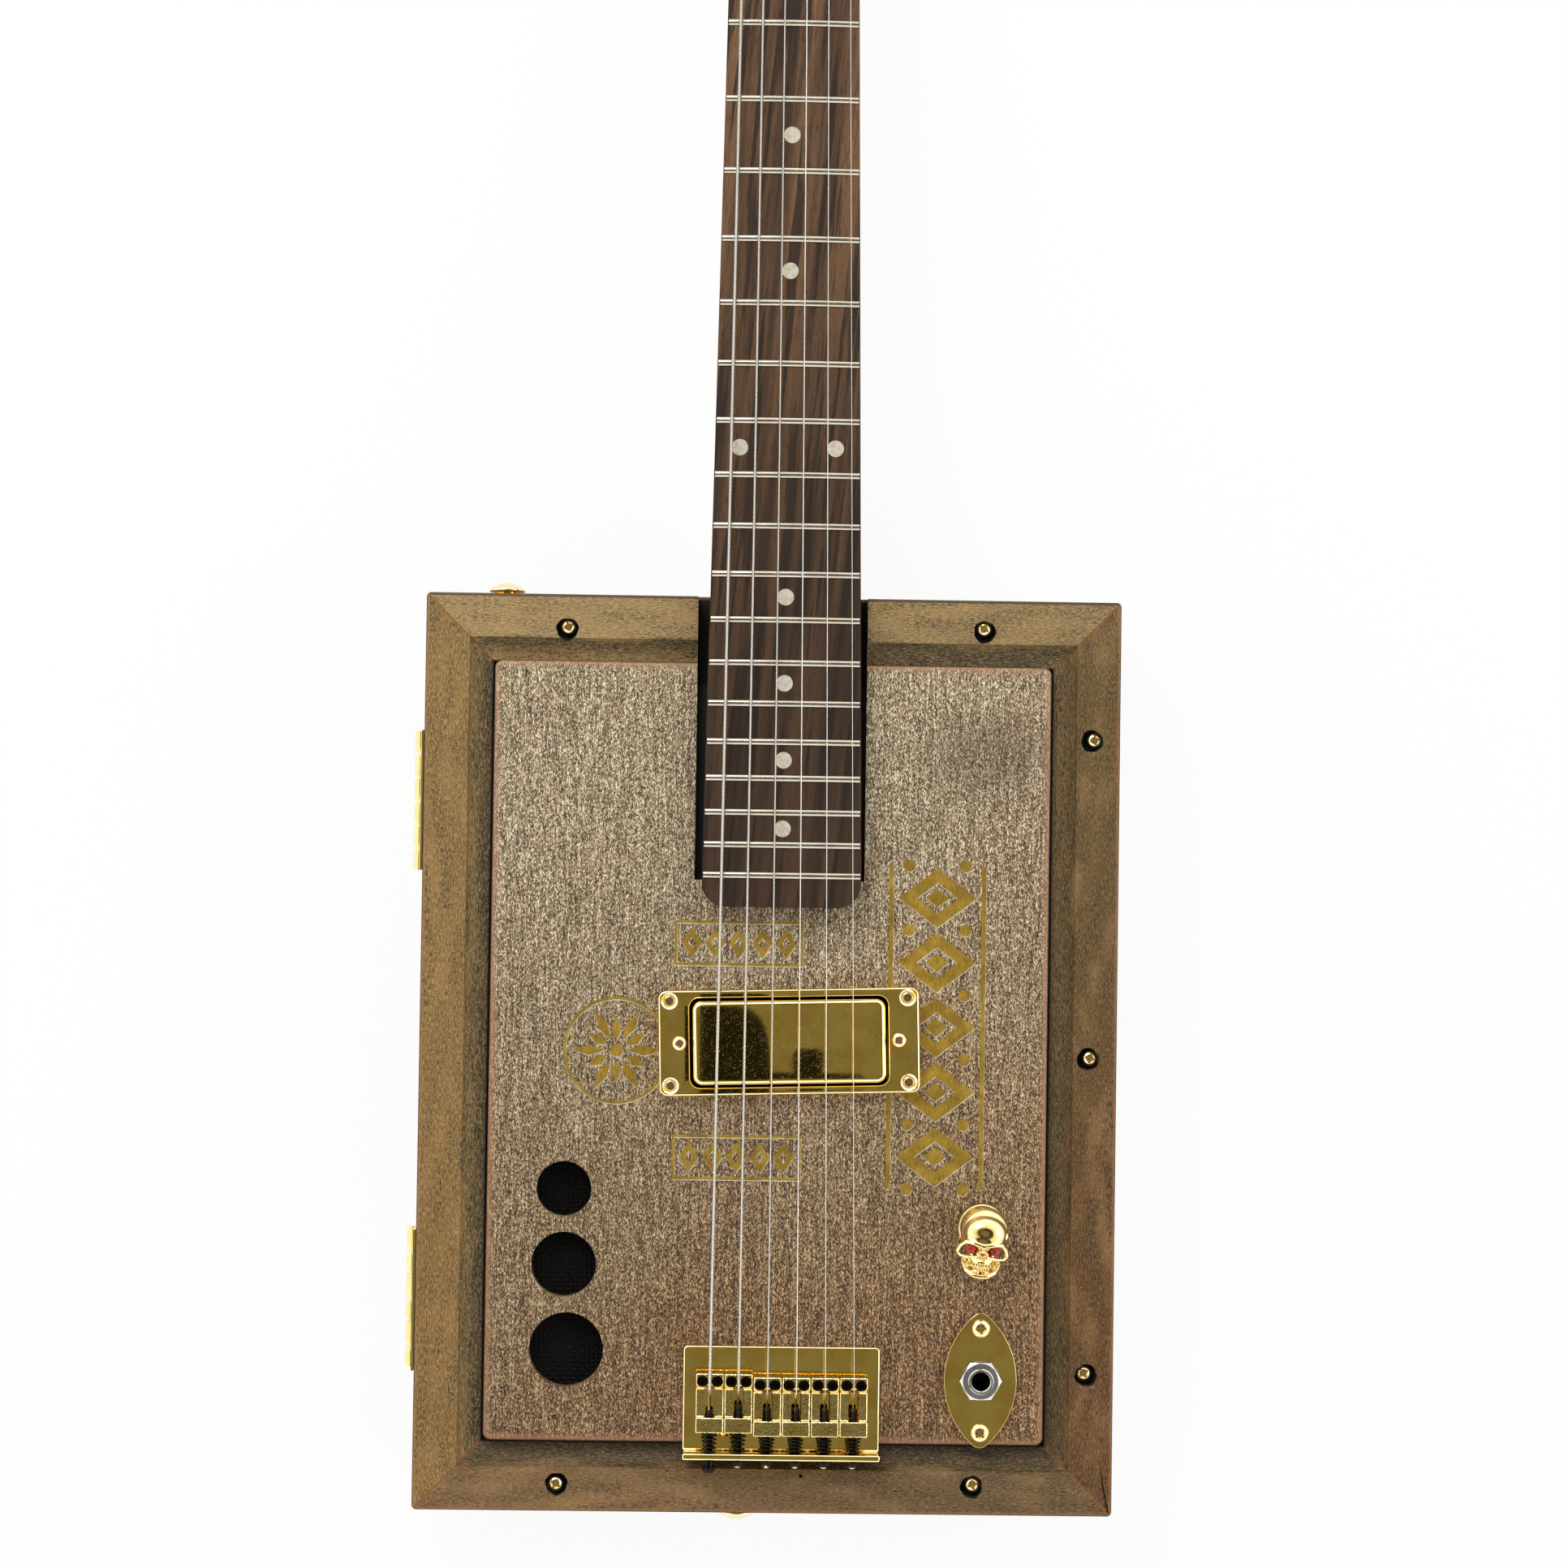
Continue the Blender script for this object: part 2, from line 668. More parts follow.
CHARRED = Smooth("charred_wood", Slot.FRAME_WOOD, "0B0907", "1D150D", lump=0.8, shine=0.75, dent=0.3)
BONE = Smooth("bone", Slot.BONE, "E6DFC8", "D8CDB0", coat=0.1)
PEARL = Smooth("pearl", Slot.BONE, "D5CDB8", "BEB49C", lump=1.6, shine=0.3, coat=0.3)
RED_GEM = Smooth("red_gem", Slot.GOLD, "C20A16", "6E040A", lump=1.2, shine=0.12, coat=0.25, dent=0.0)
ROSEWOOD = Rosewood("oiled_rosewood", Slot.ROSEWOOD)
MAPLE = NeckWood("maple_neck", Slot.MAPLE)
BOX_WOOD = BoxWood("box_wood", Slot.BOX_WOOD)
FOIL = Foil("gold_foil", Slot.GOLD)
PRESSED_EDGE = Foil("pressed_edge", Slot.GOLD, "E8E0C4", "FFFFF0")

# The frame's stains: the flat's tone at both ends, the brow's, and the foot's at both ends
STAINS = {
    Side.LEFT: ("84683A", "826335", "7E6840", "494029", "4A412B"),
    Side.BOTTOM: ("7E6140", "644E34", "50402A", "46361F", "342A1C"),
    Side.RIGHT: ("5E3C1D", "624C2B", "584527", "50401F", "7A613A"),
    Side.TOP: ("8A744C", "9C8358", "585036", "5E5340", "B08B58")}


def upright(edge: bmesh.types.BMEdge) -> bool:
    """Tells whether an edge runs along Z."""
    step = edge.verts[1].co - edge.verts[0].co
    return math.hypot(step.x, step.y) < MERGE < abs(step.z)


def at_height(height: float) -> EdgeTest:
    """Picks the edges that lie at one height."""
    return lambda edge: all(abs(vert.co.z - height) < MERGE * 10 for vert in edge.verts)


def sharper_than(degrees: float) -> EdgeTest:
    """Picks the edges whose faces meet at more than an angle."""
    return lambda edge: edge.calc_face_angle(0.0) > math.radians(degrees)


class Form:
    """A shape in the making, in millimetres."""

    def __init__(self) -> None:
        """Starts empty."""
        self.mesh = bmesh.new()

    @classmethod
    def block(cls, low: Point, high: Point) -> "Form":
        """Makes a block between two corners."""
        form = cls()
        low, high = Vector(low), Vector(high)
        bmesh.ops.create_cube(form.mesh, size=1.0)
        bmesh.ops.scale(form.mesh, vec=high - low, verts=form.mesh.verts)
        return form.moved((low + high) / 2)

    @classmethod
    def rod(cls, radius: float, start: Point, end: Point, sides: int = 24) -> "Form":
        """Makes a round rod."""
        form = cls()
        run = Vector(end) - Vector(start)
        bmesh.ops.create_cone(
            form.mesh, cap_ends=True, segments=sides, radius1=radius, radius2=radius, depth=run.length)
        turn = run.to_track_quat("Z", "Y").to_matrix().to_4x4()
        return form.mapped(Matrix.Translation((Vector(start) + Vector(end)) / 2) @ turn)

    @classmethod
    def post(cls, radius: float, place: Point, low: float, high: float, sides: int = 24) -> "Form":
        """Makes an upright rod at a place in X and Y."""
        return cls.rod(radius, (*place, low), (*place, high), sides)

    @classmethod
    def ball(cls, radii: Point, centre: Point, sides: int = 24) -> "Form":
        """Makes a ball with a radius for each axis."""
        form = cls()
        bmesh.ops.create_uvsphere(form.mesh, u_segments=sides, v_segments=sides // 2, radius=1.0)
        bmesh.ops.scale(form.mesh, vec=radii, verts=form.mesh.verts)
        return form.moved(centre)

    @classmethod
    def turned(cls, profile: Outline, sides: int = 32) -> "Form":
        """Spins a profile of radii and heights about Z."""
        form = cls()
        verts = [form.mesh.verts.new((radius, 0, height)) for radius, height in profile]
        edges = [form.mesh.edges.new(pair) for pair in zip(verts, verts[1:])]
        bmesh.ops.spin(
            form.mesh, geom=verts + edges, cent=(0, 0, 0), axis=(0, 0, 1), dvec=(0, 0, 0),
            angle=FULL_TURN, steps=sides, use_merge=True, use_duplicate=False)
        return form.cleaned()

    @classmethod
    def prism(cls, outline: Outline, low: float, high: float) -> "Form":
        """Extrudes an outline in X and Y from one height to another."""
        form = cls()
        face = form.mesh.faces.new([form.mesh.verts.new((x, y, low)) for x, y in outline])
        grown = bmesh.ops.extrude_face_region(form.mesh, geom=[face])["geom"]
        verts = [part for part in grown if isinstance(part, bmesh.types.BMVert)]
        bmesh.ops.translate(form.mesh, vec=(0, 0, high - low), verts=verts)
        return form.cleaned()

    @classmethod
    def bar(cls, profile: Outline, start: float, end: float) -> "Form":
        """Extrudes a profile in Y and Z along X."""
        turn = Matrix(((0, 0, 1, 0), (1, 0, 0, 0), (0, 1, 0, 0), (0, 0, 0, 1)))
        return cls.prism(profile, start, end).mapped(turn)

    @classmethod
    def wire(cls, points: Sequence[Point], radius: float, smooth: int = 2) -> "Form":
        """Runs a round wire through points, with capped ends."""
        curve = bpy.data.curves.new("wire", "CURVE")
        curve.dimensions = "3D"
        curve.bevel_depth = radius
        curve.bevel_resolution = smooth
        curve.use_fill_caps = True
        spline = curve.splines.new("POLY")
        spline.points.add(len(points) - 1)
        for spot, point in zip(spline.points, points):
            spot.co = (*point, 1.0)
        holder = bpy.data.objects.new("wire", curve)
        form = cls().filled(bpy.data.meshes.new_from_object(holder))
        bpy.data.objects.remove(holder)
        bpy.data.curves.remove(curve)
        return form

    @classmethod
    def of_node(cls, node: str) -> "Form":
        """Copies a solid of the frame, with its loose triangles merged and its flat faces whole."""
        form = cls()
        form.mesh.from_mesh(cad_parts[node].data)
        bmesh.ops.scale(form.mesh, vec=(1 / MM,) * 3, verts=form.mesh.verts)
        bmesh.ops.remove_doubles(form.mesh, verts=form.mesh.verts, dist=MERGE)
        bmesh.ops.dissolve_limit(
            form.mesh, angle_limit=math.radians(0.5), verts=form.mesh.verts, edges=form.mesh.edges)
        return form

    def filled(self, mesh: bpy.types.Mesh) -> "Form":
        """Adds a mesh that is needed no more."""
        self.mesh.from_mesh(mesh)
        bpy.data.meshes.remove(mesh)
        return self

    def cleaned(self) -> "Form":
        """Merges doubles and turns the faces outwards."""
        bmesh.ops.remove_doubles(self.mesh, verts=self.mesh.verts, dist=MERGE)
        bmesh.ops.recalc_face_normals(self.mesh, faces=self.mesh.faces)
        return self

    def mapped(self, matrix: Matrix) -> "Form":
        """Moves and turns the shape by a matrix."""
        bmesh.ops.transform(self.mesh, matrix=matrix, verts=self.mesh.verts)
        return self

    def moved(self, by: Point) -> "Form":
        """Moves the shape."""
        return self.mapped(Matrix.Translation(by))

    def spun(self, degrees: float, axis: str = "Z", centre: Point = (0, 0, 0)) -> "Form":
        """Turns the shape about an axis through a centre."""
        there = Matrix.Translation(centre)
        return self.mapped(there @ Matrix.Rotation(math.radians(degrees), 4, axis) @ there.inverted())

    def added(self, *others: "Form") -> "Form":
        """Takes other shapes in, each as a shell of its own."""
        for other in others:
            mesh = bpy.data.meshes.new("part")
            other.mesh.to_mesh(mesh)
            self.filled(mesh)
        return self

    def rounded(self, radius: float, steps: int = 3, where: EdgeTest = sharper_than(20)) -> "Form":
        """Rounds the edges that pass a test."""
        edges = [edge for edge in self.mesh.edges if where(edge)]
        bmesh.ops.bevel(
            self.mesh, geom=edges, offset=radius, offset_type="OFFSET", segments=steps, profile=0.5,
            affect="EDGES", clamp_overlap=True, material=-1)
        return self

    def sliced(self, point: Point, outward: Point, clear: bool = False) -> list[bmesh.types.BMEdge]:
        """Cuts edges into the shape along a plane.

        Args:
            point: A point of the plane.
            outward: The plane's direction.
            clear: Whether what lies beyond the plane goes.

        Returns:
            The new edges.
        """
        geometry = [*self.mesh.verts, *self.mesh.edges, *self.mesh.faces]
        cut = bmesh.ops.bisect_plane(
            self.mesh, geom=geometry, plane_co=point, plane_no=outward, clear_outer=clear, dist=MERGE)
        return [part for part in cut["geom_cut"] if isinstance(part, bmesh.types.BMEdge)]

    def trimmed(self, point: Point, outward: Point) -> "Form":
        """Cuts off what lies beyond a plane, and closes the cut."""
        bmesh.ops.contextual_create(self.mesh, geom=self.sliced(point, outward, clear=True))
        return self.cleaned()

    def combined(self, how: Combine, *others: "Form") -> "Form":
        """Joins, cuts or meets the shape with others, one after another."""
        for other in others:
            tool = other.held("tool")
            self.modified("BOOLEAN", operation=how.value, solver="EXACT", object=tool)
            drop(tool)
        return self

    def cut(self, *others: "Form") -> "Form":
        """Cuts other shapes out."""
        return self.combined(Combine.CUT, *others)

    def melted(self, voxel: float, smoothing: int) -> "Form":
        """Fuses shells that overlap into one soft skin.

        Args:
            voxel: Size of the grid that the skin is drawn on.
            smoothing: How often the skin is smoothed afterwards.

        Returns:
            This shape.
        """
        self.modified("REMESH", mode="VOXEL", voxel_size=voxel)
        for _ in range(smoothing):
            bmesh.ops.smooth_vert(
                self.mesh, verts=self.mesh.verts, factor=0.5, use_axis_x=True, use_axis_y=True, use_axis_z=True)
        return self

    def held(self, name: str) -> bpy.types.Object:
        """Puts the shape in an object of the scene."""
        mesh = bpy.data.meshes.new(name)
        self.mesh.to_mesh(mesh)
        holder = bpy.data.objects.new(name, mesh)
        bpy.context.scene.collection.objects.link(holder)
        return holder

    def modified(self, kind: str, **settings: object) -> None:
        """Runs the shape through one modifier with its settings."""
        work = self.held("work")
        modifier = work.modifiers.new("step", kind)
        for name, value in settings.items():
            setattr(modifier, name, value)
        bpy.context.view_layer.update()
        graph = bpy.context.evaluated_depsgraph_get()
        mesh = bpy.data.meshes.new_from_object(work.evaluated_get(graph))
        self.mesh.free()
        self.mesh = bmesh.new()
        self.filled(mesh)
        drop(work)

    def place(self, name: str, finish: Finish, body: str = "lid", replaces: Sequence[str] = (),
              crease: float = 35.0, edge: float = 0.0, steps: int = 2) -> bpy.types.Object:
        """Makes a piece of the scene out of the shape.

        Args:
            name: The piece's name.
            finish: Its finish.
            body: The body that it moves with; empty for a piece that is joined to its bodies later.
            replaces: The solids that it stands for.
            crease: Angle in degrees past which an edge stays sharp.
            edge: Width of a live bevel on those edges, or nought.
            steps: Segments of that bevel.

        Returns:
            The new object.
        """
        bmesh.ops.remove_doubles(self.mesh, verts=self.mesh.verts, dist=MERGE)
        for part in self.mesh.edges:
            part.smooth = part.calc_face_angle(0.0) < math.radians(crease)
        for face in self.mesh.faces:
            face.smooth = True
            face.material_index = 0
        bmesh.ops.scale(self.mesh, vec=(MM,) * 3, verts=self.mesh.verts)
        piece = self.held(name)
        self.mesh.free()
        piece.data.materials.clear()
        piece.data.materials.append(finish.material())
        if edge:
            bevel = piece.modifiers.new("edge", "BEVEL")
            bevel.width = edge * MM
            bevel.segments = steps
            bevel.limit_method = "ANGLE"
            bevel.angle_limit = math.radians(crease)
            bevel.harden_normals = True
        flats = piece.modifiers.new("flats", "WEIGHTED_NORMAL")
        flats.keep_sharp = True
        if body:
            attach(piece, body)
        if replaces:
            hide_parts(*replaces)
        LOG.info("%s: %d faces", name, len(piece.data.polygons))
        return piece

    @classmethod
    def twin(cls, node: str, finish: Finish, body: str = "lid", **look: float) -> bpy.types.Object:
        """Makes the piece that has a solid's own shape, name and place."""
        return cls.of_node(node).stand_in(node, finish, body, **look)

    def stand_in(self, node: str, finish: Finish, body: str = "lid", **look: float) -> bpy.types.Object:
        """Makes the piece that takes the name and the place of a solid."""
        return self.place(node, finish, body, [node], **look)


def drop(holder: bpy.types.Object) -> None:
    """Removes an object that only held a shape for a while."""
    mesh = holder.data
    bpy.data.objects.remove(holder)
    bpy.data.meshes.remove(mesh)


def arc(centre: Point, radius: float, start: float, end: float, steps: int,
        rise: float | None = None) -> list[Pair]:
    """Gives points along an arc.

    Args:
        centre: The arc's centre in its plane.
        radius: Its radius, or its radius along the first axis.
        start: First angle in degrees.
        end: Last angle in degrees.
        steps: Number of stretches.
        rise: Its radius along the second axis, where that differs.

    Returns:
        The arc's points.
    """
    angles = [math.radians(start + (end - start) * i / steps) for i in range(steps + 1)]
    rise = radius if rise is None else rise
    return [(centre[0] + radius * math.cos(a), centre[1] + rise * math.sin(a)) for a in angles]


def rectangle(x: float, y: float, width: float, height: float) -> list[Pair]:
    """Gives the corners of a rectangle round a centre."""
    return [
        (x - width / 2, y - height / 2), (x + width / 2, y - height / 2), (x + width / 2, y + height / 2),
        (x - width / 2, y + height / 2)]


def slab(size: Point, low: float, high: float, corner: float = 0.0, steps: int = CORNER_STEPS) -> Form:
    """Makes a flat block of a width and a length, centred on the origin, with round corners if asked."""
    block = Form.block((-size[0] / 2, -size[1] / 2, low), (size[0] / 2, size[1] / 2, high))
    return block.rounded(corner, steps, upright) if corner else block


def face_z() -> float:
    """Height at which the metal parts lie on the panel."""
    return Extent.of("lid_panel").high.z + PANEL_GAP


@dataclass
class Screw:
    """A cross-recessed screw head, its axis along Z and its seat at height nought."""

    radius: float = 3.0
    rise: float = 1.3
    rim: float = 0.35
    recess_share: float = 0.62
    recess_width: float = 0.85
    recess_depth: float = 1.1
    shank: float = 3.0
    shank_share: float = 0.45

    def form(self, turn: float) -> Form:
        """Makes the head with its recess, turned by some degrees, and a short shank."""
        shank = self.radius * self.shank_share
        profile = [(0.0, -self.shank), (shank, -self.shank), (shank, 0.0), (self.radius, 0.0)]
        profile += arc((0, self.rim), self.radius, 0, QUARTER_DEGREES, CORNER_STEPS, self.rise - self.rim)
        head = Form.turned(profile, 32)
        size = (self.radius * self.recess_share * 2, self.recess_width)
        for quarter in (0, QUARTER_DEGREES):
            bar = slab(size, self.rise - self.recess_depth, self.rise + CUT_PAST, self.recess_width / 4, 2)
            head.cut(bar.spun(quarter + turn))
        return head


@dataclass
class Studio:
    """Camera, floor, lamps and world."""

    camera_place: Triple = (-25.78, 217.82, 1382.51)
    camera_turn: Triple = (1.70528, -1.29412, 0.81575)
    lens: float = 87.05
    sensor: float = 36.0
    reach_m: float = 20.0
    floor_reach_m: float = 4.0
    floor_share: float = 0.92
    floor_lump: float = 400.0
    lamps_m: tuple[tuple[str, Triple, float, float], ...] = (
        ("key", (-0.7, 1.5, 1.4), 19.0, 1.0), ("fill", (1.5, 0.2, 1.0), 5.0, 0.8))
    lamp_target_m: Triple = (0.0, 0.17, 0.0)
    ceiling: float = 0.3
    gloom: float = 0.08
    walls: float = 1.1
    glare: float = 0.7
    ceiling_heights: Pair = (0.955, 0.972)
    wall_heights: Pair = (0.9, 0.8)
    clouds: float = 0.4
    cloud_lump: float = 0.08
    mirror_top: float = 41.0
    shades: tuple[tuple[float, float, float, float], ...] = (
        (-25.0, 151.0, 25.5, 29.5), (13.9, 160.3, 5.4, 4.5), (8.0, 154.6, 26.0, 1.8))
    shade_left: float = -24.6
    shade_blur: float = 0.4
    shade_level: float = 0.06

    def build(self) -> None:
        """Sets the stage."""
        scene = bpy.context.scene
        scene.view_settings.view_transform = "Standard"
        self.camera(scene)
        self.floor()
        for name, place_m, power, size_m in self.lamps_m:
            self.lamp(name, place_m, power, size_m)
        self.world(scene)
        LOG.info("studio is set")

    def camera(self, scene: bpy.types.Scene) -> None:
        """Puts the camera where the photograph was taken from."""
        data = bpy.data.cameras.new("camera")
        data.sensor_width = self.sensor
        data.lens = self.lens
        data.clip_end = self.reach_m
        camera = bpy.data.objects.new("camera", data)
        camera.location = Vector(self.camera_place) * MM
        camera.rotation_euler = [math.radians(angle) for angle in self.camera_turn]
        scene.collection.objects.link(camera)
        scene.camera = camera

    def floor(self) -> None:
        """Lays a white floor under the guitar, which keeps a soft shadow."""
        form = Form()
        bmesh.ops.create_grid(form.mesh, x_segments=1, y_segments=1, size=self.floor_reach_m)
        floor = form.moved((0, 0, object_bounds()[0][2])).held("floor")
        floor.data.materials.append(self.floor_material())
        floor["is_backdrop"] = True

    def floor_material(self) -> bpy.types.Material:
        """Mixes white light into a white floor, for the camera and for mirrors."""
        tree = Tree("floor")
        mottle = tree.noise(tree.place(), self.floor_lump, 2.0)
        tree.surface(base_color=tree.mix(mottle, "F4F4F4", "FFFFFF"), roughness=0.9)
        seen = self.ray(tree, "Camera").most(self.ray(tree, "Glossy"))
        glow = tree.node("ShaderNodeEmission", inputs={"Color": "FFFFFF", "Strength": 1.0})
        plain = Wire(tree, tree.shader.outputs[0])
        tree.finish(tree.node("ShaderNodeMixShader", inputs={0: seen * self.floor_share, 1: plain, 2: glow}))
        return tree.material

    def ray(self, tree: Tree, kind: str) -> Wire:
        """Tells whether a ray is of one kind."""
        return tree.node("ShaderNodeLightPath", output=f"Is {kind} Ray")

    def lamp(self, name: str, place_m: Point, power: float, size_m: float) -> None:
        """Hangs a square lamp that faces the guitar's body."""
        data = bpy.data.lights.new(name, "AREA")
        data.energy = power
        data.size = size_m
        lamp = bpy.data.objects.new(name, data)
        lamp.location = place_m
        lamp.rotation_euler = (Vector(self.lamp_target_m) - lamp.location).to_track_quat("-Z", "Y").to_euler()
        bpy.context.scene.collection.objects.link(lamp)

    def world(self, scene: bpy.types.Scene) -> None:
        """Surrounds the guitar with bright walls under a grey ceiling, white where the camera sees it."""
        world = bpy.data.worlds.new("world")
        world.use_nodes = True
        scene.world = world
        tree = WorldTree(world)
        where = tree.node("ShaderNodeTexCoord", output="Generated")
        height = tree.split(where)[2]
        level = height.rise(*self.ceiling_heights) * (self.ceiling - self.gloom) + self.gloom
        glare = self.ray(tree, "Glossy") * self.glare
        level = level + height.rise(*self.wall_heights) * (glare + (self.walls - self.gloom))
        level = level * (1 - self.clouds / 2 + tree.noise(where, self.cloud_lump, 1.0) * self.clouds)
        level = level * (1 - self.shade(tree, where) * (1 - self.shade_level))
        light = tree.node("ShaderNodeBackground", inputs={"Strength": level})
        white = tree.node("ShaderNodeBackground", inputs={"Color": "FFFFFF"})
        tree.finish(tree.node("ShaderNodeMixShader", inputs={0: self.ray(tree, "Camera"), 1: light, 2: white}))

    def shade(self, tree: Tree, where: Wire) -> Wire:
        """Finds the dark shapes overhead that the pickup's cover mirrors, given by their images on it.

        Args:
            tree: The world's tree.
            where: Direction of a ray.

        Returns:
            Their share in that direction.
        """
        across, up, height = tree.split(where)
        eye_x, eye_y, eye_z = self.camera_place
        x = across * (eye_z - self.mirror_top) + eye_x
        y = up * (eye_z - self.mirror_top) + eye_y
        share = None
        for centre_x, centre_y, reach_x, reach_y in self.shades:
            aside = ((x - centre_x) * (1 / reach_x)) ** 4 + ((y - centre_y) * (1 / reach_y)) ** 4
            dark = aside.rise(1.08, 0.92)
            share = dark if share is None else share.most(dark)
        return share * (x - self.shade_left).rise(-self.shade_blur, self.shade_blur) * height.rise(0.2, 0.6)


@dataclass
class LidFrame:
    """Four mitred members with a cove, a worn outer edge and counterbored screws."""

    width: float = 24.0
    flat_width: float = 15.6
    cove_drop: float = 5.5
    ledge_width: float = 8.0
    corner_radius: float = 1.6
    edge_radius: float = 0.9
    mitre_gap: float = 0.04
    bore_radius: float = 4.0
    bore_points: int = 36
    bore_depth: float = 4.8
    bore_wall: float = 0.25
    bore_gap: float = 0.02
    bore_lip: float = 0.5
    torn_shares: tuple[tuple[float, int, float], ...] = ((0.04, 3, 1.0), (0.025, 7, 2.1))
    pocket_gap: float = 2.6
    pocket_right_gap: float = 1.4
    strip_height: float = 4.0
    screw: Screw = field(default_factory=lambda: Screw(rise=2.0, recess_depth=1.3))
    screw_drop: float = 3.2
    screw_places: tuple[Triple, ...] = (
        (-73.5, 313.6, 20), (75.0, 315.1, 55), (115.1, 275.8, 10), (114.7, 162.3, 75), (113.7, 50.5, 35),
        (74.6, 10.6, 15), (-73.3, 9.4, 60))
    bore_places: tuple[Pair, ...] = (
        (-73.8, 312.5), (75.1, 313.7), (113.9, 275.3), (113.7, 162.0), (114.3, 49.9), (74.1, 10.0),
        (-72.9, 9.6))
    split_points: tuple[Pair, ...] = (
        (119.3, 21.5), (120.4, 11.2), (122.9, -1.0), (123.5, -1.0), (120.9, 11.2))
    split_depth: float = 2.5
    nail_place: Pair = (13.5, 13.3)
    nail_radius: float = 0.7

    def __post_init__(self) -> None:
        """Reads the lid's box from the frame."""
        rail, stile = Extent.of("frame_rail_bottom"), Extent.of("frame_stile_right")
        self.low_z, self.top_z = rail.low.z, rail.high.z
        self.half_width, self.length = stile.high.x, stile.high.y
        self.above = self.top_z + CUT_PAST

    def build(self) -> None:
        """Builds members, bore linings and screws."""
        for side in Side:
            self.member(side)
        for number in range(len(self.bore_places)):
            self.lining(number)
        for i, (x, y, turn) in enumerate(self.screw_places):
            head = self.screw.form(turn).moved((x, y, self.top_z - self.screw_drop))
            head.place(f"lid_screw_{i + 1}", SCREW_GOLD)

    def outline(self) -> Form:
        """The lid's outline as a block with worn upper edges."""
        block = Form.block((-self.half_width, 0, self.low_z), (self.half_width, self.length, self.top_z))
        block.rounded(self.corner_radius, CORNER_STEPS, upright)
        return block.rounded(self.edge_radius, 4, at_height(self.top_z))

    def profile(self) -> list[Pair]:
        """The moulding's profile from the outer edge inwards, over heights."""
        ledge, ledge_z = self.width + self.ledge_width, Extent.of("lid_panel").low.z - PANEL_GAP
        cove = arc((self.width, self.top_z), self.width - self.flat_width, 270, 180, 16, self.cove_drop)
        return [
            (0.0, self.low_z), (ledge, self.low_z), (ledge, ledge_z), (self.width, ledge_z), *cove,
            (0.0, self.top_z)]

    def member(self, side: Side) -> None:
        """Builds one member: a straight moulding, mitred, met with the lid's outline and drilled."""
        reach, offset = self.half_width, self.length / 2
        if not side.is_rail:
            reach, offset = offset, reach
        form = Form.bar(self.profile(), -reach - CUT_PAST, reach + CUT_PAST)
        mitre = reach - self.mitre_gap / 2
        form.trimmed((mitre, 0, 0), (1, 1, 0)).trimmed((-mitre, 0, 0), (-1, 1, 0))
        form.moved((0, -offset, 0)).spun(side.value * QUARTER_DEGREES).moved((0, self.length / 2, 0))
        form.combined(Combine.MEET, self.outline())
        for number, (x, y) in enumerate(self.bore_places):
            if self.holds(side, x, y):
                form.cut(self.bore(number, self.bore_radius, self.top_z - self.bore_depth, self.above))
        if side is Side.TOP:
            form.cut(self.pocket())
        if side is Side.RIGHT:
            form.cut(Form.prism(self.split_points, self.top_z - self.split_depth, self.above))
        if side is Side.BOTTOM:
            form.cut(Form.post(self.nail_radius, self.nail_place, self.top_z - CUT_PAST, self.above, 10))
        form.stand_in(side.member, self.stain(side, reach), crease=28)

    def bore(self, number: int, radius: float, low: float, high: float) -> Form:
        """A counterbore's shape, torn a little out of round.

        Args:
            number: Which counterbore.
            radius: Its mean radius.
            low: Its lower end.
            high: Its upper end.

        Returns:
            The shape to cut out or to fill.
        """
        x, y = self.bore_places[number]
        points = []
        for k in range(self.bore_points):
            angle = FULL_TURN * k / self.bore_points
            torn = radius * (1 + sum(
                share * math.sin(waves * angle + number * shift) for share, waves, shift in self.torn_shares))
            points.append((x + torn * math.cos(angle), y + torn * math.sin(angle)))
        return Form.prism(points, low, high)

    def holds(self, side: Side, x: float, y: float) -> bool:
        """Tells whether a place lies on one side's member."""
        inset = {Side.BOTTOM: y, Side.TOP: self.length - y, Side.RIGHT: self.half_width - x,
                 Side.LEFT: self.half_width + x}
        return min(inset, key=inset.get) is side

    def pocket(self) -> Form:
        """The neck's slot through the top rail."""
        board = Extent.of("fretboard")
        return Form.block(
            (board.low.x - self.pocket_gap, 0, self.low_z + self.strip_height),
            (board.high.x + self.pocket_right_gap, self.length + CUT_PAST, self.above))

    def stain(self, side: Side, reach: float) -> FrameWood:
        """The stain of one member."""
        middle = self.length / 2
        x, y = {
            Side.BOTTOM: (0, 0), Side.TOP: (0, self.length), Side.LEFT: (-self.half_width, middle),
            Side.RIGHT: (self.half_width, middle)}[side]
        return FrameWood(
            f"stain_{side.name.lower()}", Slot.FRAME_WOOD, side, STAINS[side],
            fleck=0.4 if side in (Side.LEFT, Side.TOP) else 0.18, edge_line=1.5 if side is Side.TOP else 0.75,
            corner=(x, y, self.top_z), reach=reach, flat_width=self.flat_width, width=self.width)

    def lining(self, number: int) -> None:
        """Lines one counterbore with charred wood."""
        floor = self.top_z - self.bore_depth
        cup = self.bore(number, self.bore_radius, floor + self.bore_gap, self.top_z - self.bore_lip)
        cup.cut(self.bore(number, self.bore_radius - self.bore_wall, floor + self.bore_wall, self.top_z))
        cup.place(f"bore_lining_{number + 1}", CHARRED)


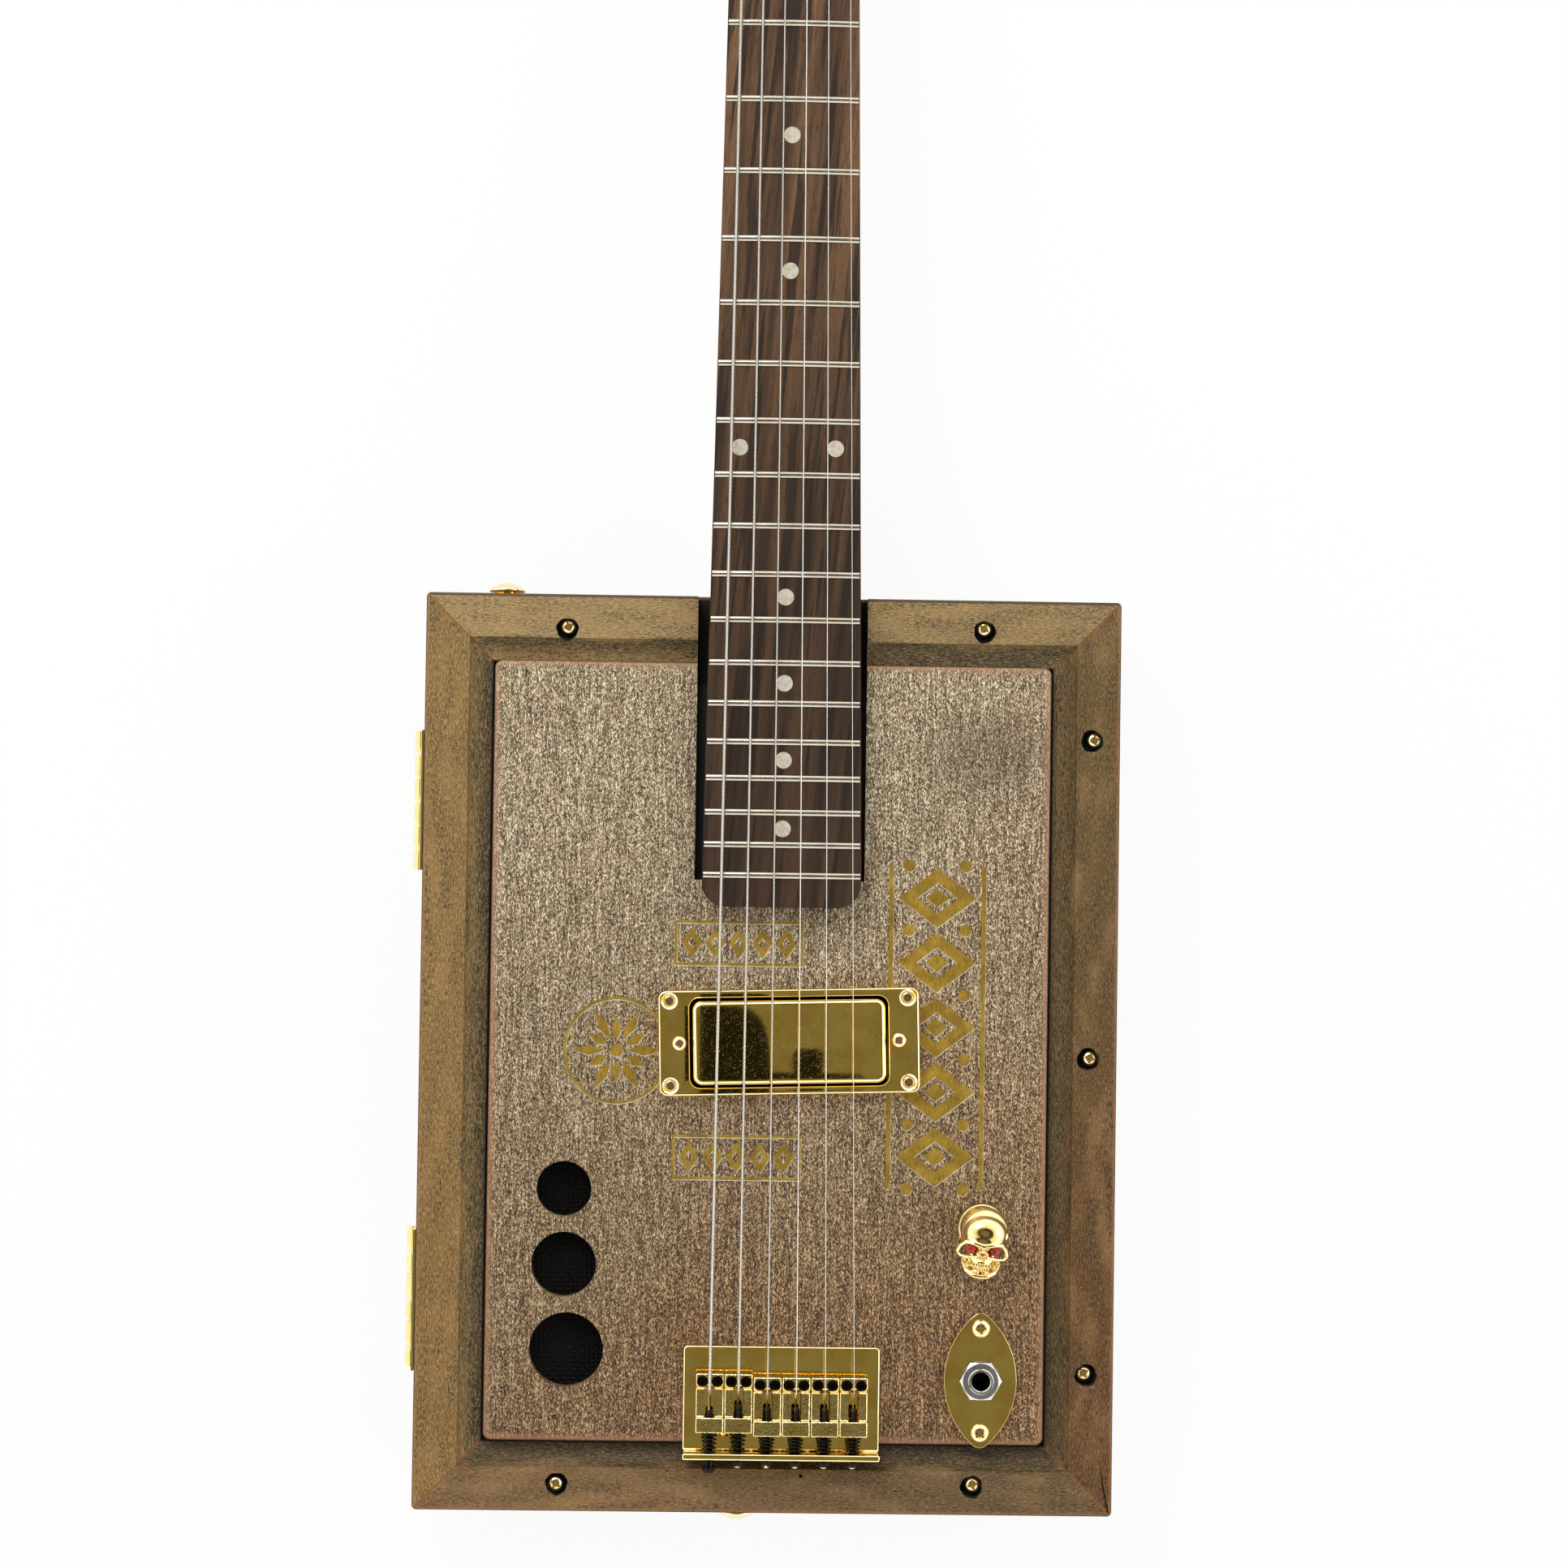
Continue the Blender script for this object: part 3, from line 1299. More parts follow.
@dataclass
class LidPanel:
    """The sparkling panel with its sound holes, and the wire mesh behind them."""

    corner_radius: float = 3.0
    edge_radius: float = 1.7
    hole_places: tuple[Triple, ...] = (
        (-71.9, 113.7, 9.8), (-71.6, 87.0, 11.5), (-70.3, 56.9, 13.15))
    part_holes: tuple[tuple[str, float], ...] = (("jack_socket", 7.8), ("volume_pot", 4.9))
    wire_pitch: float = 1.56
    wire_radius: float = 0.24
    wire_wave: float = 0.22
    weave_steps: int = 4
    mesh_drop: float = 0.6
    cloth_drop: float = 1.6
    cloth_thickness: float = 0.2
    pocket_reach: float = 9.5
    pickup_slots: tuple[Pair, ...] = ((71.0, 32.2), (85.6, 9.6))

    def __post_init__(self) -> None:
        """Reads the panel's box from the frame."""
        self.box = Extent.of("lid_panel")
        self.below, self.above = self.box.low.z - CUT_PAST, self.box.high.z + CUT_PAST

    def build(self) -> None:
        """Builds the board and what lies behind its holes."""
        self.board()
        for i, (x, y, radius) in enumerate(self.hole_places):
            self.weave(i + 1, x, y, radius)

    def board(self) -> None:
        """Builds the panel with all its holes."""
        box = self.box
        board = Form.block(box.low, box.high)
        board.rounded(self.corner_radius, CORNER_STEPS, upright)
        board.rounded(self.edge_radius, 5, at_height(box.high.z))
        pocket_y = Extent.of("fretboard").low.y + self.pocket_reach
        board.cut(LidFrame().pocket().trimmed((0, pocket_y, 0), (0, -1, 0)), self.pickup_hole())
        for x, y, radius in self.hole_places:
            board.cut(Form.post(radius, (x, y), self.below, self.above, 56))
        for part, radius in self.part_holes:
            board.cut(Form.post(radius, Extent.of(part).centre[:2], self.below, self.above, 32))
        finish = SparklePanel("sparkle_panel", Slot.PANEL_WOOD, box.size.x / 2, box.size.y / 2, box.centre.y)
        board.stand_in("lid_panel", finish, crease=30)

    def pickup_hole(self) -> Form:
        """The pickup's slot with its two ears."""
        slot, ears = [slab(size, self.below, self.above) for size in self.pickup_slots]
        return Pickup().put(slot.combined(Combine.JOIN, ears))

    def weave(self, number: int, x: float, y: float, radius: float) -> None:
        """Weaves the wires behind one sound hole, and hangs black cloth behind them."""
        reach = radius + self.wire_pitch
        height = self.box.low.z - self.mesh_drop
        count = int(reach / self.wire_pitch)
        wires = Form()
        for i in range(-count, count + 1):
            offset = i * self.wire_pitch
            half = math.sqrt(max(reach ** 2 - offset ** 2, 0.0))
            steps = max(2, int(half * 2 / self.wire_pitch * self.weave_steps))
            for crossways in (False, True):
                points = []
                for k in range(steps + 1):
                    along = -half + half * 2 * k / steps
                    lift = self.wire_wave * math.cos(math.pi * (along / self.wire_pitch + i + crossways))
                    place = (along, offset) if crossways else (offset, along)
                    points.append((x + place[0], y + place[1], height + lift))
                wires.added(Form.wire(points, self.wire_radius, 0))
        wires.place(f"sound_hole_wires_{number}", BLACK_MESH, replaces=["sound_hole_mesh"], crease=80)
        low = self.box.low.z - self.cloth_drop
        cloth = Form.post(reach, (x, y), low - self.cloth_thickness, low, 48)
        cloth.place(f"sound_hole_cloth_{number}", BLACK_CLOTH)


@dataclass
class Board:
    """Fretboard, frets, dots and nut, in a curve across the neck."""

    scale: float = 647.7
    start_y: float = 44.0
    fret_count: int = 22
    nut_width: float = 42.0
    last_width: float = 56.2
    camber: float = 305.0
    camber_sides: int = 720
    corner_radius: float = 8.5
    edge: float = 0.3
    nut_edge: float = 0.25
    fret_width: float = 2.5
    fret_height: float = 1.0
    fret_sunk: float = 0.1
    fret_inset: float = 0.3
    fret_steps: int = 14
    dot_radius: float = 2.95
    dot_frets: tuple[int, ...] = (3, 5, 7, 9, 15, 17, 19, 21)
    double_dot_fret: int = 12
    double_dot_spread: float = 17.0
    dot_depth: float = 1.0
    dot_lift: float = 0.03

    def __post_init__(self) -> None:
        """Reads the board's box from the frame."""
        box = Extent.of("fretboard")
        self.centre_x = box.centre.x
        self.end_y, self.nut_y = box.low.y, box.high.y
        self.low_z, self.top_z = box.low.z, box.high.z - self.fret_height
        self.axis_z = self.top_z - self.camber

    def fret_y(self, number: int) -> float:
        """Place of one fret along the neck."""
        return self.start_y + self.scale * 2 ** (-number / 12)

    def half_width(self, y: float) -> float:
        """Half the board's width at a place along the neck."""
        run = self.nut_y - self.fret_y(self.fret_count)
        return (self.nut_width + (self.last_width - self.nut_width) * (self.nut_y - y) / run) / 2

    def build(self) -> None:
        """Builds board, frets, dots and nut."""
        self.board()
        self.frets()
        self.dots()
        Form.twin("nut", BONE, edge=self.nut_edge)

    def board(self) -> None:
        """Builds the tapered board with its cambered top."""
        wide, narrow, r = self.half_width(self.end_y), self.nut_width / 2, self.corner_radius
        points = [(-narrow, self.nut_y), *arc((r - wide, self.end_y + r), r, 180, 270, 10),
                  *arc((wide - r, self.end_y + r), r, 270, 360, 10), (narrow, self.nut_y)]
        board = Form.prism(points, self.low_z, self.top_z + CUT_PAST)
        ends = [(0, y, self.axis_z) for y in (self.end_y - CUT_PAST, self.nut_y + CUT_PAST)]
        board.combined(Combine.MEET, Form.rod(self.camber, *ends, self.camber_sides))
        board.moved((self.centre_x, 0, 0)).stand_in("fretboard", ROSEWOOD, crease=30, edge=self.edge)

    def frets(self) -> None:
        """Bends each fret's crown along the camber."""
        frets = Form()
        crown = arc((0, -self.fret_sunk), self.fret_width / 2, 0, 180, 8, self.fret_height)
        for number in range(1, self.fret_count + 1):
            y = self.fret_y(number)
            half = self.half_width(y) - self.fret_inset
            fret = Form.bar(crown, -half, half)
            for step in range(1, self.fret_steps):
                fret.sliced((-half + half * 2 * step / self.fret_steps, 0, 0), (1, 0, 0))
            for vert in fret.mesh.verts:
                vert.co.z -= self.camber - math.sqrt(self.camber ** 2 - vert.co.x ** 2)
            frets.added(fret.moved((self.centre_x, y, self.top_z)))
        frets.place("frets", FRET_METAL, replaces=["fretboard"], crease=50)

    def dots(self) -> None:
        """Sets the position dots level with the camber."""
        dots = Form()
        for number in (*self.dot_frets, self.double_dot_fret):
            y = (self.fret_y(number) + self.fret_y(number - 1)) / 2
            double = number == self.double_dot_fret
            for x in (-self.double_dot_spread, self.double_dot_spread) if double else (0.0,):
                low, high = self.top_z - self.dot_depth, self.top_z + self.dot_lift
                dot = Form.post(self.dot_radius, (0, y), low, high, 28)
                dots.added(dot.spun(math.degrees(math.asin(x / self.camber)), "Y", (0, y, self.axis_z)))
        dots.moved((self.centre_x, 0, 0)).place("position_dots", PEARL, replaces=["fretboard"])


@dataclass
class NeckAndStrings:
    """The neck's wood and the strings, which keep the shape of their solids."""

    wound_strings: int = 3

    def build(self) -> None:
        """Smooths a copy of each solid."""
        Form.twin("neck", MAPLE, crease=40)
        for i in range(STRING_COUNT):
            Form.twin(f"string_{i + 1}", WOUND_STEEL if i < self.wound_strings else STRING_STEEL, crease=80)


@dataclass
class Bridge:
    """Plate with a turned-up lip, and on it six saddles with their screws and springs."""

    thickness: float = 2.0
    lip_thickness: float = 2.4
    lip_reach: float = 4.7
    outer_bend: float = 2.0
    inner_bend: float = 1.0
    corner_radius: float = 1.6
    rim: float = 0.75
    base_screw: Screw = field(default_factory=lambda: Screw(radius=3.1, rise=1.4))
    base_screw_y: float = 30.2
    base_screw_places: tuple[Pair, ...] = ((0.5, 20), (2.5, 55), (4.5, 90))
    axis_height: float = 6.0
    screw_radius: float = 1.5
    screw_start: float = 2.0
    screw_turns: Pair = (30.0, 25.0)
    screw_slot: float = 0.8
    screw_slot_depth: float = 0.9
    thread_depth: float = 0.25
    thread_pitch: float = 0.7
    tip_bevel: float = 0.4
    head_radius: float = 2.6
    head_length: float = 2.2
    head_reaches: tuple[float, ...] = (2.6, 0.3, 0.3, 0.3, 0.3, 0.3)
    tip_reaches: tuple[float, ...] = (2.2, 4.3, 4.3, 4.3, 4.3, 4.3)
    rear_block: float = 5.5
    spring_wire: float = 0.28
    spring_turns: float = 4.5
    spring_wide: float = 2.85
    spring_narrow: float = 2.0
    spring_points: int = 14
    saddle_edge: float = 0.5
    front_block: float = 5.6
    crest_slope: float = 1.6
    sheet: float = 2.0
    saddle_float: float = 2.4
    rear_height: float = 9.0
    rear_float: float = 2.8
    slot_width: float = 3.8
    saddle_gap: float = 0.15
    grub_spread: float = 2.6
    grub_back: float = 2.8
    grub_radius: float = 1.8
    grub_hole_radius: float = 2.05
    grub_sink: float = 0.7
    grub_float: float = 0.05
    grub_bevels: Triple = (0.5, 0.55, 0.4)
    hex_radius: float = 1.0
    hex_depth: float = 1.4
    ball_radius: float = 1.74
    ball_inset: float = 1.7

    def __post_init__(self) -> None:
        """Reads the places of the plate and of the lip's rear face from the frame."""
        self.box = Extent.of("bridge_plate")
        self.low_z = face_z()
        self.plate_top = self.low_z + self.thickness
        self.axis_z = self.plate_top + self.axis_height
        self.lip_rear = Extent.of("lid_panel").low.y - self.lip_reach

    def string_x(self, number: float) -> float:
        """Place across of one string, or between two."""
        return STRINGS_X + (number - (STRING_COUNT - 1) / 2) * STRING_PITCH

    def build(self) -> None:
        """Builds plate, saddles, screws and springs."""
        self.plate()
        for i in range(STRING_COUNT):
            self.saddle(i)
            self.intonation_screw(i)
            self.spring(i)
            self.string_ball(i)

    def plate(self) -> None:
        """Bends the plate and its lip in one piece, and screws it down."""
        rear, front, top = self.lip_rear, self.box.high.y, self.box.high.z
        lip = rear + self.lip_thickness
        outer, inner = self.outer_bend, self.inner_bend
        profile = [
            (front, self.low_z), *arc((rear + outer, self.low_z + outer), outer, 270, 180, CORNER_STEPS),
            (rear, top), (lip, top), *arc((lip + inner, self.plate_top + inner), inner, 180, 270, CORNER_STEPS),
            (front, self.plate_top)]
        form = Form.bar(profile, self.box.low.x, self.box.high.x)
        form.rounded(self.corner_radius, 5, lambda edge: upright(edge) and edge.verts[0].co.y > front - MERGE)
        form.rounded(self.rim, 4, sharper_than(50)).stand_in("bridge_plate", GOLD, crease=40)
        for i, (number, turn) in enumerate(self.base_screw_places):
            head = self.base_screw.form(turn).moved((self.string_x(number), self.base_screw_y, self.plate_top))
            head.place(f"bridge_screw_{i + 1}", SCREW_GOLD, replaces=["bridge_plate"])

    def saddle(self, i: int) -> None:
        """Finishes one saddle and sets its two height screws."""
        name = f"saddle_{i + 1}"
        box = Extent.of(name)
        form = self.saddle_block(box, self.string_x(i))
        screws = Form()
        low, top = self.plate_top + self.grub_float, box.high.z - self.grub_sink
        tip, lead, bevel = self.grub_bevels
        radius = self.grub_radius
        profile = [
            (0, low), (radius - tip, low), (radius, low + lead), (radius, top - bevel), (radius - bevel, top),
            (0, top)]
        below, above = self.plate_top - CUT_PAST, box.high.z + CUT_PAST
        for side in BOTH_SIDES:
            place = (self.string_x(i) + side * self.grub_spread, box.high.y - self.grub_back)
            form.cut(Form.post(self.grub_hole_radius, place, below, above, 28))
            grub = Form.turned(profile, 24).moved((*place, 0))
            screws.added(grub.cut(Form.post(self.hex_radius, place, top - self.hex_depth, top + CUT_PAST, 6)))
        form.stand_in(name, CAST_GOLD, name, crease=40)
        screws.place(f"height_screws_{i + 1}", BLACK_STEEL, name, [name], crease=30)

    def saddle_block(self, box: Extent, x: float) -> Form:
        """Folds one saddle: front block, slotted slope and rear block, all with rounded edges.

        Args:
            box: Where the saddle is in the frame.
            x: Its place across.

        Returns:
            The saddle without its height screws' holes.
        """
        front, rear, crest = box.high.y, box.low.y, box.high.z
        back, step = front - self.front_block, rear + self.rear_block
        rear_top = self.plate_top + self.rear_height
        slope_high, slope_low = crest - self.sheet * 1.5, rear_top - self.sheet
        foot, heel = self.plate_top + self.saddle_float, self.plate_top + self.rear_float
        profile = [
            (front, foot), (front, crest), (back + self.crest_slope, crest), (back, slope_high),
            (step, slope_low), (step, rear_top), (rear, rear_top), (rear, heel), (step, heel),
            (step, slope_low - self.sheet), (back, slope_high - self.sheet), (back, foot)]
        half, slot = box.size.x / 2, self.slot_width / 2
        form = Form.bar(profile, x - half, x + half).rounded(self.saddle_edge, 4, sharper_than(25))
        form.cut(Form.block((x - slot, step, self.plate_top), (x + slot, back, crest + CUT_PAST)))
        ends = [(x, y, self.axis_z) for y in (rear - CUT_PAST, step + CUT_PAST)]
        return form.cut(Form.rod(self.screw_radius + self.saddle_gap, *ends))

    def intonation_screw(self, i: int) -> None:
        """Threads one intonation screw, its head behind the lip."""
        rear, start = self.lip_rear - self.head_reaches[i], self.lip_rear + self.screw_start
        tip = Extent.of(f"saddle_{i + 1}").low.y + self.rear_block + self.tip_reaches[i]
        radius, pitch = self.screw_radius, self.thread_pitch
        profile = arc((0, rear), self.head_radius, -90, 0, CORNER_STEPS, self.head_length)
        profile += [(self.head_radius, rear), (radius, rear), (radius, start)]
        for k in range(1, int((tip - start) / pitch)):
            profile += [(radius - self.thread_depth, start + (k - 0.5) * pitch), (radius, start + k * pitch)]
        profile += [(radius - self.tip_bevel, tip), (0.0, tip)]
        end = rear - self.head_length
        slot = slab((self.head_radius * 2, self.screw_slot), end - CUT_PAST, end + self.screw_slot_depth)
        first, step = self.screw_turns
        screw = Form.turned(profile, 18).cut(slot.spun(first + step * i))
        screw.spun(-QUARTER_DEGREES, "X").moved((self.string_x(i), 0, self.axis_z))
        screw.place(f"intonation_screw_{i + 1}", BLACK_STEEL, replaces=["bridge_plate"], crease=32)

    def spring(self, i: int) -> None:
        """Coils one saddle's spring from the lip to the saddle."""
        name = f"saddle_spring_{i + 1}"
        start = self.lip_rear + self.lip_thickness + self.spring_wire
        end = Extent.of(f"saddle_{i + 1}").low.y - self.spring_wire
        x = self.string_x(i)
        count = int(self.spring_turns * self.spring_points)
        points = []
        for share in [k / count for k in range(count + 1)]:
            radius = self.spring_narrow + (self.spring_wide - self.spring_narrow) * share
            angle = FULL_TURN * self.spring_turns * share + i
            y = start + (end - start) * share
            points.append((x + radius * math.cos(angle), y, self.axis_z + radius * math.sin(angle)))
        piece = Form.wire(points, self.spring_wire, 1).stand_in(name, BLACK_STEEL, "", crease=80)
        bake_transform(piece)

    def string_ball(self, i: int) -> None:
        """Gilds the ball at one string's end."""
        y = Extent.of(f"string_{i + 1}").low.y + self.ball_inset
        ball = Form.ball((self.ball_radius,) * 3, (self.string_x(i), y, self.plate_top + self.ball_inset), 20)
        ball.place(f"string_ball_{i + 1}", GOLD)


@dataclass
class Pickup:
    """Mounting ring with its screws, and the cover in it."""

    turn: float = 1.6
    centre: Pair = (7.2, 166.95)
    ring_size: Pair = (92.6, 37.4)
    ring_height: float = 4.6
    ring_corner: float = 3.0
    ring_rim: float = 0.9
    opening_size: Pair = (70.4, 31.6)
    opening_corner: float = 3.4
    opening_rim: float = 0.6
    corner_screw_place: Pair = (42.3, 15.0)
    countersink_radius: float = 3.0
    countersink_depth: float = 1.5
    pilot_radius: float = 1.3
    pilot_depth: float = 3.0
    corner_screw: Screw = field(default_factory=lambda: Screw(radius=2.0, rise=0.55, recess_depth=0.9, rim=0.1))
    corner_screw_turn: float = 20.0
    corner_screw_drop: float = 1.0
    height_screw: Screw = field(default_factory=lambda: Screw(radius=2.5, rise=1.5, recess_depth=1.0))
    height_screw_places: tuple[Pair, ...] = ((-38.9, 10.0), (38.9, 35.0))
    height_rod_radius: float = 1.2
    height_rod_length: float = 18.1
    cover_size: Pair = (68.2, 29.6)
    cover_corner: float = 3.2
    cover_edge: float = 1.7
    cover_wall: float = 0.8

    def put(self, form: Form) -> Form:
        """Turns a form as the pickup is turned, and puts it in its place."""
        return form.spun(self.turn).moved((*self.centre, 0))

    def build(self) -> None:
        """Builds ring, screws and cover."""
        top = face_z() + self.ring_height
        self.ring(top)
        self.screws(top)
        self.cover()

    def corners(self) -> list[Pair]:
        """Places of the corner screws before the pickup's turn."""
        x, y = self.corner_screw_place
        return [(side * x, end * y) for side in BOTH_SIDES for end in BOTH_SIDES]

    def ring(self, top: float) -> None:
        """Builds the ring with its opening and countersinks."""
        ring = slab(self.ring_size, face_z(), top, self.ring_corner)
        ring.rounded(self.ring_rim, 5, at_height(top))
        ring.cut(slab(self.opening_size, face_z() - CUT_PAST, top + CUT_PAST, self.opening_corner))
        reach_x, reach_y = [length / 2 + MERGE * 10 for length in self.opening_size]
        ring.rounded(self.opening_rim, 4, lambda edge: at_height(top)(edge) and all(
            abs(vert.co.x) < reach_x and abs(vert.co.y) < reach_y for vert in edge.verts))
        radius, pilot, above = self.countersink_radius, self.pilot_radius, top + CUT_PAST
        profile = [
            (0, top - self.pilot_depth), (pilot, top - self.pilot_depth), (pilot, top - self.countersink_depth),
            (radius, top), (radius, above), (0, above)]
        for place in self.corners():
            ring.cut(Form.turned(profile, 32).moved((*place, 0)))
        self.put(ring).stand_in("pickup_ring", GOLD, crease=32)

    def screws(self, top: float) -> None:
        """Sets four countersunk corner screws and two height screws."""
        for number, place in enumerate(self.corners(), 1):
            head = self.corner_screw.form(self.corner_screw_turn * number)
            head.moved((*place, top - self.corner_screw_drop))
            self.put(head).place(f"ring_screw_{number}", DARK_GOLD, replaces=["pickup_ring"])
        for number, (x, turn) in enumerate(self.height_screw_places, 1):
            head = self.height_screw.form(turn).moved((x, 0, top))
            head.added(Form.post(self.height_rod_radius, (x, 0), top - self.height_rod_length, top, 16))
            self.put(head).place(f"pickup_height_screw_{number}", ROSE_GOLD, replaces=["pickup_ring"])

    def cover(self) -> None:
        """Builds the hollow cover with its rolled rim."""
        box = Extent.of("pickup_cover")
        cover = slab(self.cover_size, box.low.z, box.high.z, self.cover_corner, 8)
        cover.rounded(self.cover_edge, 8, at_height(box.high.z))
        inside = [length - self.cover_wall * 2 for length in self.cover_size]
        corner = self.cover_corner - self.cover_wall
        cover.cut(slab(inside, box.low.z - CUT_PAST, box.high.z - self.cover_edge, corner))
        self.put(cover).stand_in("pickup_cover", GOLD, "pickup", crease=40)


@dataclass
class Jack:
    """Pointed oval plate with two screws, and the socket with its nut."""

    plate_edge: float = 0.7
    screw_places: tuple[Pair, ...] = ((-18.45, 45.0), (18.45, 5.0))
    screw: Screw = field(default_factory=lambda: Screw(radius=3.2, rise=2.0, rim=0.5, recess_depth=1.3))
    nut_across: float = 13.0
    nut_height: float = 2.2
    nut_bevel: Triple = (0.1, 0.2, 0.7)
    nut_skirt: float = 1.0
    washer_radius: float = 6.9
    washer_height: float = 0.5
    washer_edge: Pair = (0.1, 0.05)
    gap: float = 0.02
    bush_radius: float = 4.6
    bush_low: float = 26.0
    bush_bevel: float = 0.4
    bore_radius: float = 3.3
    bore_bevel: float = 0.35
    neck_rise: float = 1.4
    barrel_radius: float = 7.4
    barrel_top: float = 26.2
    sleeve_wall: float = 0.9
    sleeve_drop: float = 1.6
    sleeve_gap: float = 0.05
    bore_depth: float = 24.0

    def __post_init__(self) -> None:
        """Reads the places of plate and socket from the frame."""
        self.plate_box, self.socket_box = Extent.of("jack_plate"), Extent.of("jack_socket")
        self.top = self.plate_box.high.z

    def build(self) -> None:
        """Builds plate, screws, nut, bush and barrel."""
        Form.twin("jack_plate", GOLD, edge=self.plate_edge, steps=4)
        centre = self.plate_box.centre
        for i, (y, turn) in enumerate(self.screw_places):
            head = self.screw.form(turn).moved((centre.x, centre.y + y, self.top))
            head.place(f"jack_screw_{i + 1}", SCREW_GOLD)
        self.nut()
        self.socket()

    def put(self, form: Form, name: str, finish: Finish, crease: float) -> None:
        """Puts a form on the socket's axis as a piece."""
        centre = self.socket_box.centre
        form.moved((centre.x, centre.y, 0)).place(name, finish, replaces=["jack_socket"], crease=crease)

    def nut(self) -> None:
        """Cuts the hexagonal nut with its chamfered corners, and turns the washer under it."""
        corner, bush, rim = self.nut_across / math.sqrt(3), self.bush_radius, self.washer_radius
        base = self.top + self.washer_height
        high = base + self.nut_height
        out, inside, down = self.nut_bevel
        skirt, skirt_z = corner + self.nut_skirt, base - self.nut_skirt
        lens = Form.turned([
            (0, skirt_z), (skirt, skirt_z), (corner + out, high - down), (self.nut_across / 2 - inside, high),
            (0, high)], 64)
        nut = Form.post(corner, (0, 0), base, high, 6).combined(Combine.MEET, lens)
        nut.cut(Form.post(bush, (0, 0), base - CUT_PAST, high + CUT_PAST, 40))
        low, (aside, down) = self.top + self.gap, self.washer_edge
        washer = Form.turned([
            (bush, low), (rim, low), (rim, base - down), (rim - aside, base), (bush, base), (bush, low)], 48)
        self.put(nut.spun(QUARTER_DEGREES).added(washer), "jack_nut", NICKEL, 28)

    def socket(self) -> None:
        """Turns the threaded bush and the barrel behind it."""
        high = self.top + self.nut_height + self.washer_height + self.neck_rise
        outer, bore, low = self.bush_radius, self.bore_radius, self.bush_low
        bush = Form.turned([
            (outer, low), (outer, high - self.bush_bevel), (outer - self.bush_bevel, high),
            (bore + self.bore_bevel, high), (bore, high - self.bore_bevel), (bore, low), (outer, low)], 48)
        self.put(bush, "jack_bush", NICKEL, 40)
        end, wide, sleeve = self.socket_box.low.z, self.barrel_radius, bore + self.sleeve_wall
        inside, sleeve_top = bore - self.sleeve_gap, high - self.sleeve_drop
        barrel = Form.turned([
            (0, end), (wide, end), (wide, self.barrel_top), (sleeve, self.barrel_top), (sleeve, sleeve_top),
            (inside, sleeve_top), (inside, high - self.bore_depth), (0, high - self.bore_depth)], 40)
        self.put(barrel, "jack_barrel", BLACK_PLASTIC, 40)


